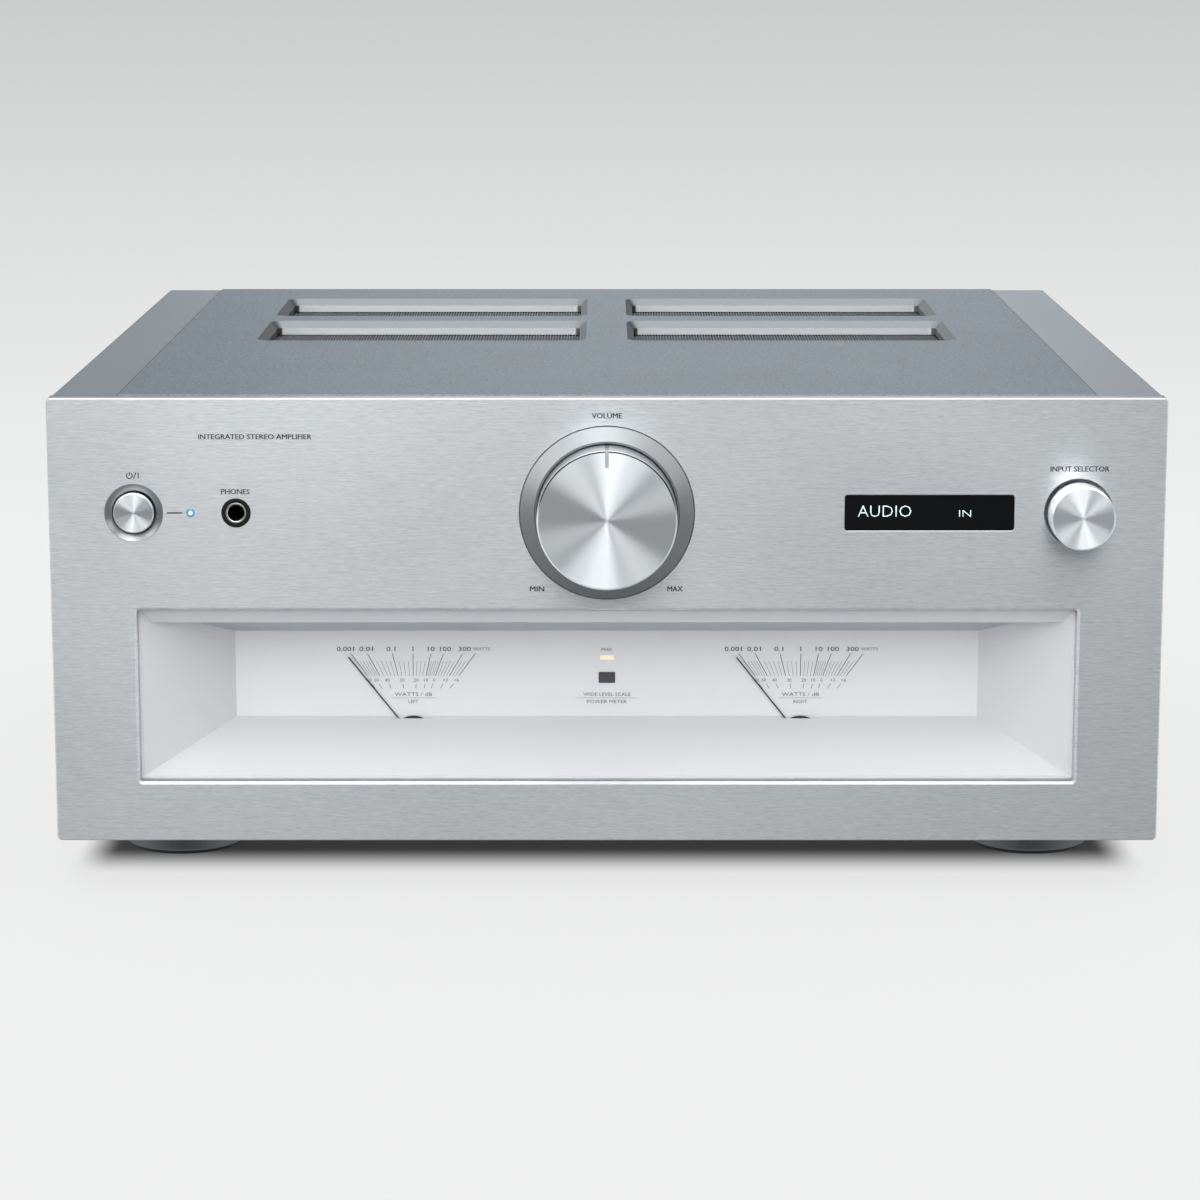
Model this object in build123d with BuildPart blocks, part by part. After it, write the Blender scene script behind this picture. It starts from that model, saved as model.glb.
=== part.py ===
from build123d import *
import os

# Stereo amplifier with a volume knob, an input selector and two power meters.
# Millimetres. The origin is on the floor under the middle of the cabinet:
# +X to the listener's right, +Y to the rear, +Z up. The front faces -Y.

os.makedirs("parts", exist_ok=True)

# ---------------------------------------------------------------- driving dimensions

# Cabinet
WIDTH = 430.0
TOP_Z = 194.0
FACE_Y = -206.0
REAR_Y = 206.0
FACE_THICK = 7.0
FACE_BOTTOM = 19.7
FACE_CORNER_R = 1.8
FACE_EDGE = 0.5
SUBFRAME_THICK = 3.2
CABINET_BOTTOM = 20.3
SHEET = 3.0
SIDE_WALL = 4.0
SIDE_TOP_Z = 193.4
FLANGE_WIDTH = 25.5
LEDGE = 10.5
LEDGE_THICK = 3.0
COVER_THICK = 6.0
SEAM = 0.2
COVER_GAP = 0.4
REAR_PLATE_Y = 202.0
REAR_PLATE_THICK = 2.0

# Cover vents: rim length in X, inner and outer reach in Y, and the bevel round each rim
VENT_X = (9.0, 152.0)
VENT_ROWS = ((-14.0, 64.0), (84.0, 160.0))
VENT_BEVEL = 3.0
VENT_CORNER_R = 3.5
MESH_THICK = 1.4
MESH_MARGIN = 3.0
MESH_SLOT = 3.0
MESH_PITCH = 6.0

# Controls, all on one line
CONTROL_Z = 149.5
VOLUME_X = 0.0
VOLUME_KNOB_R = 27.0
VOLUME_FRONT_Y = -225.5
BEZEL_R = 33.5
BEZEL_INNER_R = 27.7
BEZEL_FRONT_Y = -208.8
SELECTOR_X = 181.7
SELECTOR_KNOB_R = 12.5
SELECTOR_FRONT_Y = -220.6
SELECTOR_HOLE_R = 13.3
SHAFT_R = 3.0
RUNNING_GAP = 0.06
KNOB_BORE_GAP = 0.15
BUSHING_R = 4.5
ENCODER_DEPTH = 10.8
POWER_X = -182.2
BUTTON_R = 7.85
BUTTON_FRONT_Y = -206.9
BUTTON_HOLE_R = 8.6
DISH_R = 11.15
DISH_ANGLE = 119.0
BUTTON_TRAVEL = 2.5
SPRING_R = 4.6
SPRING_WIRE_R = 0.4
SPRING_TURNS = 4
LIGHT_X = -160.3
LIGHT_R = 1.5
PHONES_X = -142.8
PHONES_R = 5.6
PHONES_RING_R = 4.05
PHONES_BORE_R = 3.2
PHONES_FRONT_Y = -206.7
DISPLAY_X = 124.2
DISPLAY_SIZE = (65.4, 13.9)
DISPLAY_CORNER_R = 1.1

# Meter window, and the room behind it that narrows towards the dial plate
WINDOW_HALF = 182.1
WINDOW_Z = (43.2, 111.3)
WINDOW_EDGE = 1.0
WINDOW_CORNER_R = 1.0
PANE_Y = (-203.6, -200.6)
DIAL_Y = -162.0
DIAL_THICK = 1.5
DIAL_HALF = 148.4
DIAL_Z = (59.9, 94.8)
ROOM_WALL = 1.5
MOUTH_RIM = 1.2
LIP_BOTTOM_Z = 104.8
LIP_BACK_Y = -195.0
METER_X = 77.5
PIVOT_Z = 51.7
NEEDLE_LENGTH = 41.3
NEEDLE_Y = -162.8
NEEDLE_REST_ANGLE = -38.5
HUB_R = 8.5
ARBOR_R = 1.0

# Feet
FOOT_X = 173.5
FOOT_ROWS = (-128.0, 130.0)
FOOT_R = 24.5
FOOT_BOTTOM = 1.5
PAD_R = 22.6
PAD_RECESS = 2.0

# Rear connections
MAINS_X = -170.0
MAINS_Z = 60.0
LINE_COLUMNS = (70.0, 95.0, 120.0, 145.0, 170.0)
COAX_COLUMN = 12.0
LINE_ROWS = (120.0, 144.0)
LINE_SHELL_R = 4.15
LINE_NUT_R = 5.6
LINE_TIP_Y = 213.0
USB_X = -22.0
OPTICAL_XS = (-48.0, -68.0)
DIGITAL_Z = 132.0
TERMINAL_XS = (-96.0, -62.0, -6.0, 28.0)
TERMINAL_Z = 64.0
TERMINAL_POST_R = 4.0
TERMINAL_TIP_Y = 222.0
TERMINAL_CAP_R = 8.0
TERMINAL_END_Y = 225.5
BANANA_R = 2.05
GROUND_X = 188.0
GROUND_Z = 94.0

# Inside
TRANSFORMER_Y = -85.0
TRANSFORMER_R = 60.0
BOARD_THICK = 1.6
SINK_X = 95.0
SINK_SIZE = (106.0, 176.0)
SINK_Y = 76.0
SINK_BASE_Z = 80.0
SINK_TOP_Z = 174.0
CAPACITOR_R = 15.0

# Levels that follow from the ones above
FACE_BACK_Y = FACE_Y + FACE_THICK
SUBFRAME_BACK_Y = FACE_BACK_Y + SUBFRAME_THICK
REAR_FACE_Y = REAR_PLATE_Y + REAR_PLATE_THICK
FLOOR_TOP_Z = CABINET_BOTTOM + SHEET
SIDE_INNER = WIDTH / 2 - SIDE_WALL
COVER_HALF = WIDTH / 2 - FLANGE_WIDTH
COVER_UNDER_Z = TOP_Z - COVER_THICK
LEDGE_Z = COVER_UNDER_Z - 0.1
ENCODER_BACK_Y = SUBFRAME_BACK_Y + ENCODER_DEPTH
WINDOW_MID_Z = sum(WINDOW_Z) / 2
WINDOW_HEIGHT = WINDOW_Z[1] - WINDOW_Z[0]
DIAL_MID_Z = sum(DIAL_Z) / 2
DIAL_HEIGHT = DIAL_Z[1] - DIAL_Z[0]
METER_CENTRES = ((-METER_X, PIVOT_Z), (METER_X, PIVOT_Z))
FOOT_CENTRES = [(x, y) for y in FOOT_ROWS for x in (-FOOT_X, FOOT_X)]
LINE_CENTRES = [(x, z) for x in (*LINE_COLUMNS, COAX_COLUMN) for z in LINE_ROWS]


# ---------------------------------------------------------------- shared shapes

SHARP_R = 0.1  # the corner radius of a punched opening that looks square


def front_plane(y, x=0.0, z=0.0):
    """A plane at depth y that faces the listener: X to the right, Z up."""
    return Plane(origin=(x, y, z), x_dir=(1, 0, 0), z_dir=(0, -1, 0))


def middle(span):
    return (span[0] + span[1]) / 2


def block(x_span, y_span, z_span, mode=Mode.ADD):
    """A box from its low and high limits on each axis."""
    with Locations((middle(x_span), middle(y_span), middle(z_span))):
        Box(
            x_span[1] - x_span[0],
            y_span[1] - y_span[0],
            z_span[1] - z_span[0],
            mode=mode,
        )


def around(centre, half):
    return (centre - half, centre + half)


def turned(profile, x, z):
    """A solid of (radius, y) points turned about the line through x, z along Y."""
    with BuildSketch(Plane(origin=(x, 0, z), x_dir=(1, 0, 0), z_dir=(0, 0, 1))) as outline:
        with BuildLine():
            Polyline(*profile, close=True)
        make_face()
    revolve(outline.sketch, axis=Axis((x, 0, z), (0, 1, 0)))


def drilled(radius, y_span, centres):
    """Round holes along Y through y_span at each (x, z)."""
    for x, z in centres:
        with BuildSketch(front_plane(y_span[1], x, z)) as hole:
            Circle(radius)
        extrude(hole.sketch, amount=y_span[1] - y_span[0], mode=Mode.SUBTRACT)


def window_cut(y_span, x, z, width, height, radius):
    """A rectangular opening with round corners through y_span."""
    with BuildSketch(front_plane(y_span[1], x, z)) as opening:
        RectangleRounded(width, height, radius)
    extrude(opening.sketch, amount=y_span[1] - y_span[0], mode=Mode.SUBTRACT)


# ---------------------------------------------------------------- front panel

FACE_SPAN = (FACE_Y, FACE_BACK_Y)

with BuildPart() as front_panel:
    with BuildSketch(front_plane(FACE_BACK_Y, z=(TOP_Z + FACE_BOTTOM) / 2)):
        RectangleRounded(WIDTH, TOP_Z - FACE_BOTTOM, FACE_CORNER_R)
    extrude(amount=FACE_THICK)
    chamfer(front_panel.faces().sort_by(Axis.Y)[0].edges(), FACE_EDGE)
    window_cut(FACE_SPAN, 0, WINDOW_MID_Z, 2 * WINDOW_HALF, WINDOW_HEIGHT, WINDOW_CORNER_R)
    chamfer(front_panel.edges(Select.LAST).group_by(Axis.Y)[0], WINDOW_EDGE)
    window_cut(FACE_SPAN, DISPLAY_X, CONTROL_Z, *DISPLAY_SIZE, DISPLAY_CORNER_R)
    chamfer(front_panel.edges(Select.LAST).group_by(Axis.Y)[0], 0.25)
    with Locations(front_plane(FACE_Y, VOLUME_X, CONTROL_Z)):
        CounterSinkHole(BEZEL_R + 0.1, BEZEL_R + 0.45, counter_sink_angle=90)
    with Locations(front_plane(FACE_Y, SELECTOR_X, CONTROL_Z)):
        CounterSinkHole(SELECTOR_HOLE_R, SELECTOR_HOLE_R + 0.3, counter_sink_angle=90)
    with Locations(front_plane(FACE_Y, POWER_X, CONTROL_Z)):
        CounterSinkHole(BUTTON_HOLE_R, DISH_R, counter_sink_angle=DISH_ANGLE)
    drilled(LIGHT_R + 0.1, FACE_SPAN, [(LIGHT_X, CONTROL_Z)])
    drilled(PHONES_R + 0.1, FACE_SPAN, [(PHONES_X, CONTROL_Z)])
front_panel.part.label = "front_panel"
export_step(front_panel.part, "parts/front_panel.step")

# ---------------------------------------------------------------- front subframe

SUBFRAME_SPAN = (FACE_BACK_Y, SUBFRAME_BACK_Y)
SUBFRAME_INSET = 0.6

with BuildPart() as front_subframe:
    block(
        around(0, WIDTH / 2 - SUBFRAME_INSET),
        SUBFRAME_SPAN,
        (CABINET_BOTTOM, TOP_Z - SUBFRAME_INSET / 2),
    )
    window_cut(SUBFRAME_SPAN, 0, WINDOW_MID_Z, 2 * WINDOW_HALF, WINDOW_HEIGHT, SHARP_R)
    window_cut(SUBFRAME_SPAN, DISPLAY_X, CONTROL_Z, DISPLAY_SIZE[0] - 2, DISPLAY_SIZE[1] - 2, 1)
    drilled(BUSHING_R + 0.2, SUBFRAME_SPAN, [(VOLUME_X, CONTROL_Z), (SELECTOR_X, CONTROL_Z)])
    drilled(BUTTON_HOLE_R, SUBFRAME_SPAN, [(POWER_X, CONTROL_Z)])
    drilled(PHONES_R + 0.1, SUBFRAME_SPAN, [(PHONES_X, CONTROL_Z)])
front_subframe.part.label = "front_subframe"
export_step(front_subframe.part, "parts/front_subframe.step")

# ---------------------------------------------------------------- side panels

# Extruded channels: an outer wall, a top flange with a ledge that carries the cover,
# and a bottom flange that stands on the base plate.
SIDE_PROFILE = (
    (WIDTH / 2, CABINET_BOTTOM),
    (WIDTH / 2, SIDE_TOP_Z),
    (COVER_HALF, SIDE_TOP_Z),
    (COVER_HALF, LEDGE_Z),
    (COVER_HALF - LEDGE, LEDGE_Z),
    (COVER_HALF - LEDGE, LEDGE_Z - LEDGE_THICK),
    (COVER_HALF + SIDE_WALL, LEDGE_Z - LEDGE_THICK),
    (COVER_HALF + SIDE_WALL, SIDE_TOP_Z - SIDE_WALL),
    (SIDE_INNER, SIDE_TOP_Z - SIDE_WALL),
    (SIDE_INNER, FLOOR_TOP_Z + SEAM + SHEET),
    (SIDE_INNER - 20, FLOOR_TOP_Z + SEAM + SHEET),
    (SIDE_INNER - 20, FLOOR_TOP_Z),
    (SIDE_INNER, FLOOR_TOP_Z),
    (SIDE_INNER, CABINET_BOTTOM),
)
SIDE_EDGE_R = 1.5

with BuildPart() as side_panel_right:
    with BuildSketch(front_plane(REAR_Y)):
        with BuildLine():
            Polyline(*SIDE_PROFILE, close=True)
        make_face()
    extrude(amount=REAR_Y - SUBFRAME_BACK_Y)
    top_corner = side_panel_right.edges().filter_by(Axis.Y).sort_by(lambda e: e.center().X + e.center().Z)
    fillet(top_corner[-1], SIDE_EDGE_R)
side_panel_right.part.label = "side_panel_right"
export_step(side_panel_right.part, "parts/side_panel_right.step")

with BuildPart() as side_panel_left:
    mirror(side_panel_right.part, about=Plane.YZ)
side_panel_left.part.label = "side_panel_left"
export_step(side_panel_left.part, "parts/side_panel_left.step")

# ---------------------------------------------------------------- top cover and its meshes

# Each vent's middle in X and Y, and its front-to-back size at the rim
VENTS = [
    (side * middle(VENT_X), middle(row), row[1] - row[0])
    for row in VENT_ROWS
    for side in (-1, 1)
]
VENT_LENGTH = VENT_X[1] - VENT_X[0]

with BuildPart() as top_cover:
    block(around(0, COVER_HALF - COVER_GAP), (SUBFRAME_BACK_Y + SEAM, REAR_Y), (COVER_UNDER_Z, TOP_Z))
    chamfer(top_cover.faces().sort_by(Axis.Z)[-1].edges(), 0.4)
    with BuildSketch(Plane.XY.offset(TOP_Z)):
        for x, y, depth in VENTS:
            with Locations((x, y)):
                RectangleRounded(
                    VENT_LENGTH - 2 * VENT_BEVEL,
                    depth - 2 * VENT_BEVEL,
                    VENT_CORNER_R,
                )
    extrude(amount=-COVER_THICK, mode=Mode.SUBTRACT)
    chamfer(top_cover.edges(Select.LAST).group_by(Axis.Z)[-1], VENT_BEVEL)
top_cover.part.label = "top_cover"
export_step(top_cover.part, "parts/top_cover.step")

MESH_TOP_Z = COVER_UNDER_Z - 0.05
MESH_SLOT_COUNT = int((VENT_LENGTH - 2 * VENT_BEVEL) / MESH_PITCH) - 1

with BuildPart() as vent_meshes:
    with BuildSketch(Plane.XY.offset(MESH_TOP_Z)):
        for x, y, depth in VENTS:
            with Locations((x, y)):
                Rectangle(VENT_LENGTH + MESH_MARGIN, depth + MESH_MARGIN)
                with GridLocations(MESH_PITCH, 0, MESH_SLOT_COUNT, 1):
                    SlotOverall(depth - 3 * VENT_BEVEL, MESH_SLOT, 90, mode=Mode.SUBTRACT)
    extrude(amount=-MESH_THICK)
vent_meshes.part.label = "vent_meshes"
export_step(vent_meshes.part, "parts/vent_meshes.step")

# ---------------------------------------------------------------- base plate and rear panel

BASE_SPAN_Y = (SUBFRAME_BACK_Y + SEAM, REAR_PLATE_Y - SEAM)
FOOT_SCREW_R = 2.5

with BuildPart() as base_plate:
    block(around(0, SIDE_INNER - SEAM), BASE_SPAN_Y, (CABINET_BOTTOM, FLOOR_TOP_Z))
    with BuildSketch(Plane.XY.offset(CABINET_BOTTOM)):
        with Locations((-SINK_X, SINK_Y), (SINK_X, SINK_Y)):
            with GridLocations(0, 16, 1, 9):
                SlotOverall(70, 4)
        with Locations(*FOOT_CENTRES):
            Circle(FOOT_SCREW_R + 0.2)
    extrude(amount=SHEET, mode=Mode.SUBTRACT)
base_plate.part.label = "base_plate"
export_step(base_plate.part, "parts/base_plate.step")

REAR_SPAN = (REAR_PLATE_Y, REAR_FACE_Y)
REAR_SCREW_R = 1.5
REAR_SCREWS = [(x, z) for x in (-204.0, 204.0) for z in (40.0, 105.0, 172.0)]
REAR_SCREWS += [(x, 29.0) for x in (-130.0, 0.0, 130.0)]
REAR_SCREWS += [(x, 179.0) for x in (-150.0, -50.0, 50.0, 150.0)]
INLET_SCREWS = [(MAINS_X - 20.0, MAINS_Z), (MAINS_X + 20.0, MAINS_Z)]
INLET_RIM_Y = REAR_FACE_Y + 3
MAINS_BODY = (27.4, 20.0)
USB_BODY = (13.0, 12.0)
OPTICAL_BODY = (12.0, 11.0)
POST_NECK_R = 5.0

with BuildPart() as rear_panel:
    block(
        around(0, SIDE_INNER - SEAM),
        REAR_SPAN,
        (FLOOR_TOP_Z + 2 * SEAM + SHEET, LEDGE_Z - LEDGE_THICK - SEAM),
    )
    block(around(0, COVER_HALF - LEDGE - SEAM), REAR_SPAN, (FLOOR_TOP_Z, COVER_UNDER_Z - SEAM))
    window_cut(REAR_SPAN, MAINS_X, MAINS_Z, MAINS_BODY[0] + 0.2, MAINS_BODY[1] + 0.2, 1)
    window_cut(REAR_SPAN, USB_X, DIGITAL_Z, USB_BODY[0] + 0.2, USB_BODY[1] + 0.2, SHARP_R)
    for x in OPTICAL_XS:
        window_cut(REAR_SPAN, x, DIGITAL_Z, OPTICAL_BODY[0] + 0.2, OPTICAL_BODY[1] + 0.2, SHARP_R)
    drilled(LINE_SHELL_R + 0.1, REAR_SPAN, LINE_CENTRES)
    drilled(POST_NECK_R + 0.1, REAR_SPAN, [(x, TERMINAL_Z) for x in TERMINAL_XS])
    drilled(REAR_SCREW_R + 0.1, REAR_SPAN, REAR_SCREWS + INLET_SCREWS)
    drilled(2.1, REAR_SPAN, [(GROUND_X, GROUND_Z)])
rear_panel.part.label = "rear_panel"
export_step(rear_panel.part, "parts/rear_panel.step")

# ---------------------------------------------------------------- feet, pads and screws

FOOT_NAMES = ("foot_front_left", "foot_front_right", "foot_rear_left", "foot_rear_right")
SCREW_WELL_R = 6.5

for name, (x, y) in zip(FOOT_NAMES, FOOT_CENTRES):
    with BuildPart() as foot:
        with BuildSketch(Plane(origin=(x, y, FOOT_BOTTOM))):
            Circle(FOOT_R)
        extrude(amount=CABINET_BOTTOM - FOOT_BOTTOM)
        chamfer(foot.faces().sort_by(Axis.Z)[0].edges(), 0.8)
        with BuildSketch(Plane(origin=(x, y, FOOT_BOTTOM))):
            Circle(PAD_R)
        extrude(amount=PAD_RECESS, mode=Mode.SUBTRACT)
        with BuildSketch(Plane(origin=(x, y, FOOT_BOTTOM))):
            Circle(SCREW_WELL_R)
        extrude(amount=9, mode=Mode.SUBTRACT)
        with BuildSketch(Plane(origin=(x, y, CABINET_BOTTOM))):
            Circle(FOOT_SCREW_R + 0.2)
        extrude(amount=-20, mode=Mode.SUBTRACT)
    foot.part.label = name
    export_step(foot.part, f"parts/{name}.step")

with BuildPart() as foot_pads:
    with BuildSketch(Plane.XY):
        with Locations(*FOOT_CENTRES):
            Circle(PAD_R - 0.1)
            Circle(SCREW_WELL_R + 1, mode=Mode.SUBTRACT)
    extrude(amount=FOOT_BOTTOM + PAD_RECESS)
foot_pads.part.label = "foot_pads"
export_step(foot_pads.part, "parts/foot_pads.step")

SCREW_HEAD_R = 2.9
CROSS_ARM = 1.7
CROSS_HALF_WIDTH = 0.4
FOOT_HEAD_R = 4.6
FOOT_HEAD_TOP = FOOT_BOTTOM + 9


def pan_screw(x, z, seat_y):
    """A cross-head screw along Y whose head rests on a face at seat_y."""
    head_top_y = seat_y + 1.9
    turned(
        [
            (0, REAR_PLATE_Y - 5),
            (REAR_SCREW_R, REAR_PLATE_Y - 5),
            (REAR_SCREW_R, seat_y),
            (SCREW_HEAD_R, seat_y),
            (SCREW_HEAD_R, seat_y + 1.1),
            (SCREW_HEAD_R - 0.9, head_top_y),
            (0, head_top_y),
        ],
        x,
        z,
    )
    cut_y = (head_top_y - 1.1, head_top_y)
    block(around(x, CROSS_ARM), cut_y, around(z, CROSS_HALF_WIDTH), Mode.SUBTRACT)
    block(around(x, CROSS_HALF_WIDTH), cut_y, around(z, CROSS_ARM), Mode.SUBTRACT)


with BuildPart() as case_screws:
    for x, z in REAR_SCREWS:
        pan_screw(x, z, REAR_FACE_Y)
    for x, z in INLET_SCREWS:
        pan_screw(x, z, INLET_RIM_Y)
    for x, y in FOOT_CENTRES:
        with Locations((x, y, FOOT_HEAD_TOP)):
            Cylinder(FOOT_HEAD_R, 3.5, align=(Align.CENTER, Align.CENTER, Align.MAX))
            Cylinder(FOOT_SCREW_R, 15, align=(Align.CENTER, Align.CENTER, Align.MIN))
        with BuildSketch(Plane(origin=(x, y, FOOT_HEAD_TOP - 3.5))):
            RegularPolygon(2.3, 6)
        extrude(amount=2, mode=Mode.SUBTRACT)
case_screws.part.label = "case_screws"
export_step(case_screws.part, "parts/case_screws.step")

# ---------------------------------------------------------------- volume control

BEZEL_SHOULDER_Y = FACE_Y - 0.4
BEZEL_FLOOR_Y = FACE_BACK_Y - 2
BUSHING_NUT_Y = BEZEL_FLOOR_Y - 2

with BuildPart() as volume_bezel:
    turned(
        [
            (BEZEL_R, BEZEL_SHOULDER_Y),
            (BEZEL_R, FACE_BACK_Y),
            (BUSHING_R + 0.2, FACE_BACK_Y),
            (BUSHING_R + 0.2, BEZEL_FLOOR_Y),
            (BEZEL_INNER_R, BEZEL_FLOOR_Y),
            (BEZEL_INNER_R, BEZEL_FRONT_Y + 0.4),
            (BEZEL_INNER_R + 0.4, BEZEL_FRONT_Y),
            (BEZEL_R - 0.3, BEZEL_SHOULDER_Y - 0.1),
        ],
        VOLUME_X,
        CONTROL_Z,
    )
volume_bezel.part.label = "volume_bezel"
export_step(volume_bezel.part, "parts/volume_bezel.step")


def knob_profile(radius, front_y, back_y, well_r, well_depth):
    """A solid knob with a slight draft, a bevelled rim, a nut well and a blind bore."""
    bore_r = SHAFT_R + KNOB_BORE_GAP
    bore_end_y = front_y + 5
    return [
        (0, front_y),
        (radius - 0.8, front_y),
        (radius - 0.2, front_y + 0.6),
        (radius, back_y - 0.3),
        (radius - 0.3, back_y),
        (well_r, back_y),
        (well_r, back_y - well_depth),
        (bore_r, back_y - well_depth),
        (bore_r, bore_end_y),
        (0, bore_end_y),
    ]


POINTER_WIDTH = 1.4
POINTER_DEPTH = 0.6
POINTER_START = 20.3
VOLUME_BACK_Y = BEZEL_FLOOR_Y - 0.6

with BuildPart() as volume_knob:
    turned(knob_profile(VOLUME_KNOB_R, VOLUME_FRONT_Y, VOLUME_BACK_Y, 12, 5), VOLUME_X, CONTROL_Z)
    block(
        around(VOLUME_X, POINTER_WIDTH / 2),
        (VOLUME_FRONT_Y, VOLUME_FRONT_Y + POINTER_DEPTH),
        (CONTROL_Z + POINTER_START, CONTROL_Z + VOLUME_KNOB_R),
        Mode.SUBTRACT,
    )
    block(
        around(VOLUME_X, POINTER_WIDTH / 2),
        (VOLUME_FRONT_Y, VOLUME_FRONT_Y + 3),
        (CONTROL_Z + VOLUME_KNOB_R - 1, CONTROL_Z + VOLUME_KNOB_R + 1),
        Mode.SUBTRACT,
    )
volume_knob.part.label = "volume_knob"
export_step(volume_knob.part, "parts/volume_knob.step")

SHAFT_END_Y = ENCODER_BACK_Y - 4

with BuildPart() as volume_shaft:
    turned(
        [
            (0, VOLUME_FRONT_Y + 5.2),
            (SHAFT_R - 0.3, VOLUME_FRONT_Y + 5.2),
            (SHAFT_R, VOLUME_FRONT_Y + 5.5),
            (SHAFT_R, SHAFT_END_Y),
            (0, SHAFT_END_Y),
        ],
        VOLUME_X,
        CONTROL_Z,
    )
volume_shaft.part.label = "volume_shaft"
export_step(volume_shaft.part, "parts/volume_shaft.step")


def encoder_body(x, bushing_front_y, nut_y, half_size):
    """A rotary encoder: its body, threaded bushing and nut, with a bore for the shaft."""
    block(around(x, half_size), (SUBFRAME_BACK_Y, ENCODER_BACK_Y), around(CONTROL_Z, half_size))
    turned(
        [
            (0, bushing_front_y),
            (BUSHING_R - 0.4, bushing_front_y),
            (BUSHING_R, bushing_front_y + 0.4),
            (BUSHING_R, SUBFRAME_BACK_Y),
            (0, SUBFRAME_BACK_Y),
        ],
        x,
        CONTROL_Z,
    )
    with BuildSketch(front_plane(nut_y + 2, x, CONTROL_Z)) as nut:
        RegularPolygon(7, 6)
    extrude(nut.sketch, amount=2)
    drilled(SHAFT_R + RUNNING_GAP, (bushing_front_y, SHAFT_END_Y + 0.5), [(x, CONTROL_Z)])


with BuildPart() as volume_encoder:
    encoder_body(VOLUME_X, BUSHING_NUT_Y - 1, BUSHING_NUT_Y, 13)
volume_encoder.part.label = "volume_encoder"
export_step(volume_encoder.part, "parts/volume_encoder.step")

# ---------------------------------------------------------------- input selector

SELECTOR_BACK_Y = FACE_BACK_Y - 0.8
SELECTOR_WELL = 4.6

with BuildPart() as selector_knob:
    turned(
        knob_profile(SELECTOR_KNOB_R, SELECTOR_FRONT_Y, SELECTOR_BACK_Y, 8.6, SELECTOR_WELL),
        SELECTOR_X,
        CONTROL_Z,
    )
selector_knob.part.label = "selector_knob"
export_step(selector_knob.part, "parts/selector_knob.step")

with BuildPart() as selector_shaft:
    turned(
        [
            (0, SELECTOR_FRONT_Y + 5.2),
            (SHAFT_R - 0.3, SELECTOR_FRONT_Y + 5.2),
            (SHAFT_R, SELECTOR_FRONT_Y + 5.5),
            (SHAFT_R, SHAFT_END_Y),
            (0, SHAFT_END_Y),
        ],
        SELECTOR_X,
        CONTROL_Z,
    )
selector_shaft.part.label = "selector_shaft"
export_step(selector_shaft.part, "parts/selector_shaft.step")

with BuildPart() as selector_encoder:
    encoder_body(SELECTOR_X, FACE_BACK_Y - 4, FACE_BACK_Y - 2, 8)
selector_encoder.part.label = "selector_encoder"
export_step(selector_encoder.part, "parts/selector_encoder.step")

# ---------------------------------------------------------------- power button

FLANGE_R = 10.2
FLANGE_Y = (SUBFRAME_BACK_Y + 0.3, SUBFRAME_BACK_Y + 1.8)
SWITCH_Y = (FLANGE_Y[1] + 8, FLANGE_Y[1] + 24)
STEM_END_Y = SWITCH_Y[0] + 4

with BuildPart() as power_button:
    turned(
        [
            (0, BUTTON_FRONT_Y),
            (BUTTON_R - 0.5, BUTTON_FRONT_Y),
            (BUTTON_R, BUTTON_FRONT_Y + 0.5),
            (BUTTON_R, FLANGE_Y[0]),
            (FLANGE_R, FLANGE_Y[0]),
            (FLANGE_R, FLANGE_Y[1]),
            (SHAFT_R, FLANGE_Y[1]),
            (SHAFT_R, STEM_END_Y),
            (0, STEM_END_Y),
        ],
        POWER_X,
        CONTROL_Z,
    )
power_button.part.label = "power_button"
export_step(power_button.part, "parts/power_button.step")

SPRING_SPAN = (FLANGE_Y[1] + 0.05, SWITCH_Y[0] - 0.05)
SPRING_LENGTH = SPRING_SPAN[1] - SPRING_SPAN[0] - 2 * SPRING_WIRE_R

with BuildPart() as power_spring:
    with BuildLine() as coil:
        Helix(
            SPRING_LENGTH / SPRING_TURNS,
            SPRING_LENGTH,
            SPRING_R,
            center=(POWER_X, SPRING_SPAN[0] + SPRING_WIRE_R, CONTROL_Z),
            direction=(0, 1, 0),
        )
    with BuildSketch(Plane(origin=coil.line @ 0, z_dir=coil.line % 0)):
        Circle(SPRING_WIRE_R)
    sweep(path=coil.line, is_frenet=True)
power_spring.part.label = "power_spring"
export_step(power_spring.part, "parts/power_spring.step")

BRACKET_HALF = 14.5

with BuildPart() as power_switch:
    block(around(POWER_X, 8), SWITCH_Y, around(CONTROL_Z, 9))
    block(around(POWER_X, BRACKET_HALF), (SWITCH_Y[0], SWITCH_Y[0] + 1.5), around(CONTROL_Z, 9))
    for side in (-1, 1):
        arm = around(POWER_X + side * (BRACKET_HALF - 1), 1)
        block(arm, (SUBFRAME_BACK_Y, SWITCH_Y[0] + 1.5), around(CONTROL_Z, 9))
    drilled(
        SHAFT_R + RUNNING_GAP,
        (SWITCH_Y[0], STEM_END_Y + BUTTON_TRAVEL + 1),
        [(POWER_X, CONTROL_Z)],
    )
power_switch.part.label = "power_switch"
export_step(power_switch.part, "parts/power_switch.step")

# ---------------------------------------------------------------- status light and phones socket

with BuildPart() as status_light:
    turned(
        [
            (0, FACE_Y - 0.1),
            (LIGHT_R - 0.2, FACE_Y - 0.1),
            (LIGHT_R, FACE_Y + 0.1),
            (LIGHT_R, FACE_BACK_Y),
            (0, FACE_BACK_Y),
        ],
        LIGHT_X,
        CONTROL_Z,
    )
status_light.part.label = "status_light"
export_step(status_light.part, "parts/status_light.step")

PHONES_END_Y = SUBFRAME_BACK_Y + 26
RING_SEAT_Y = PHONES_FRONT_Y + 3

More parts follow.
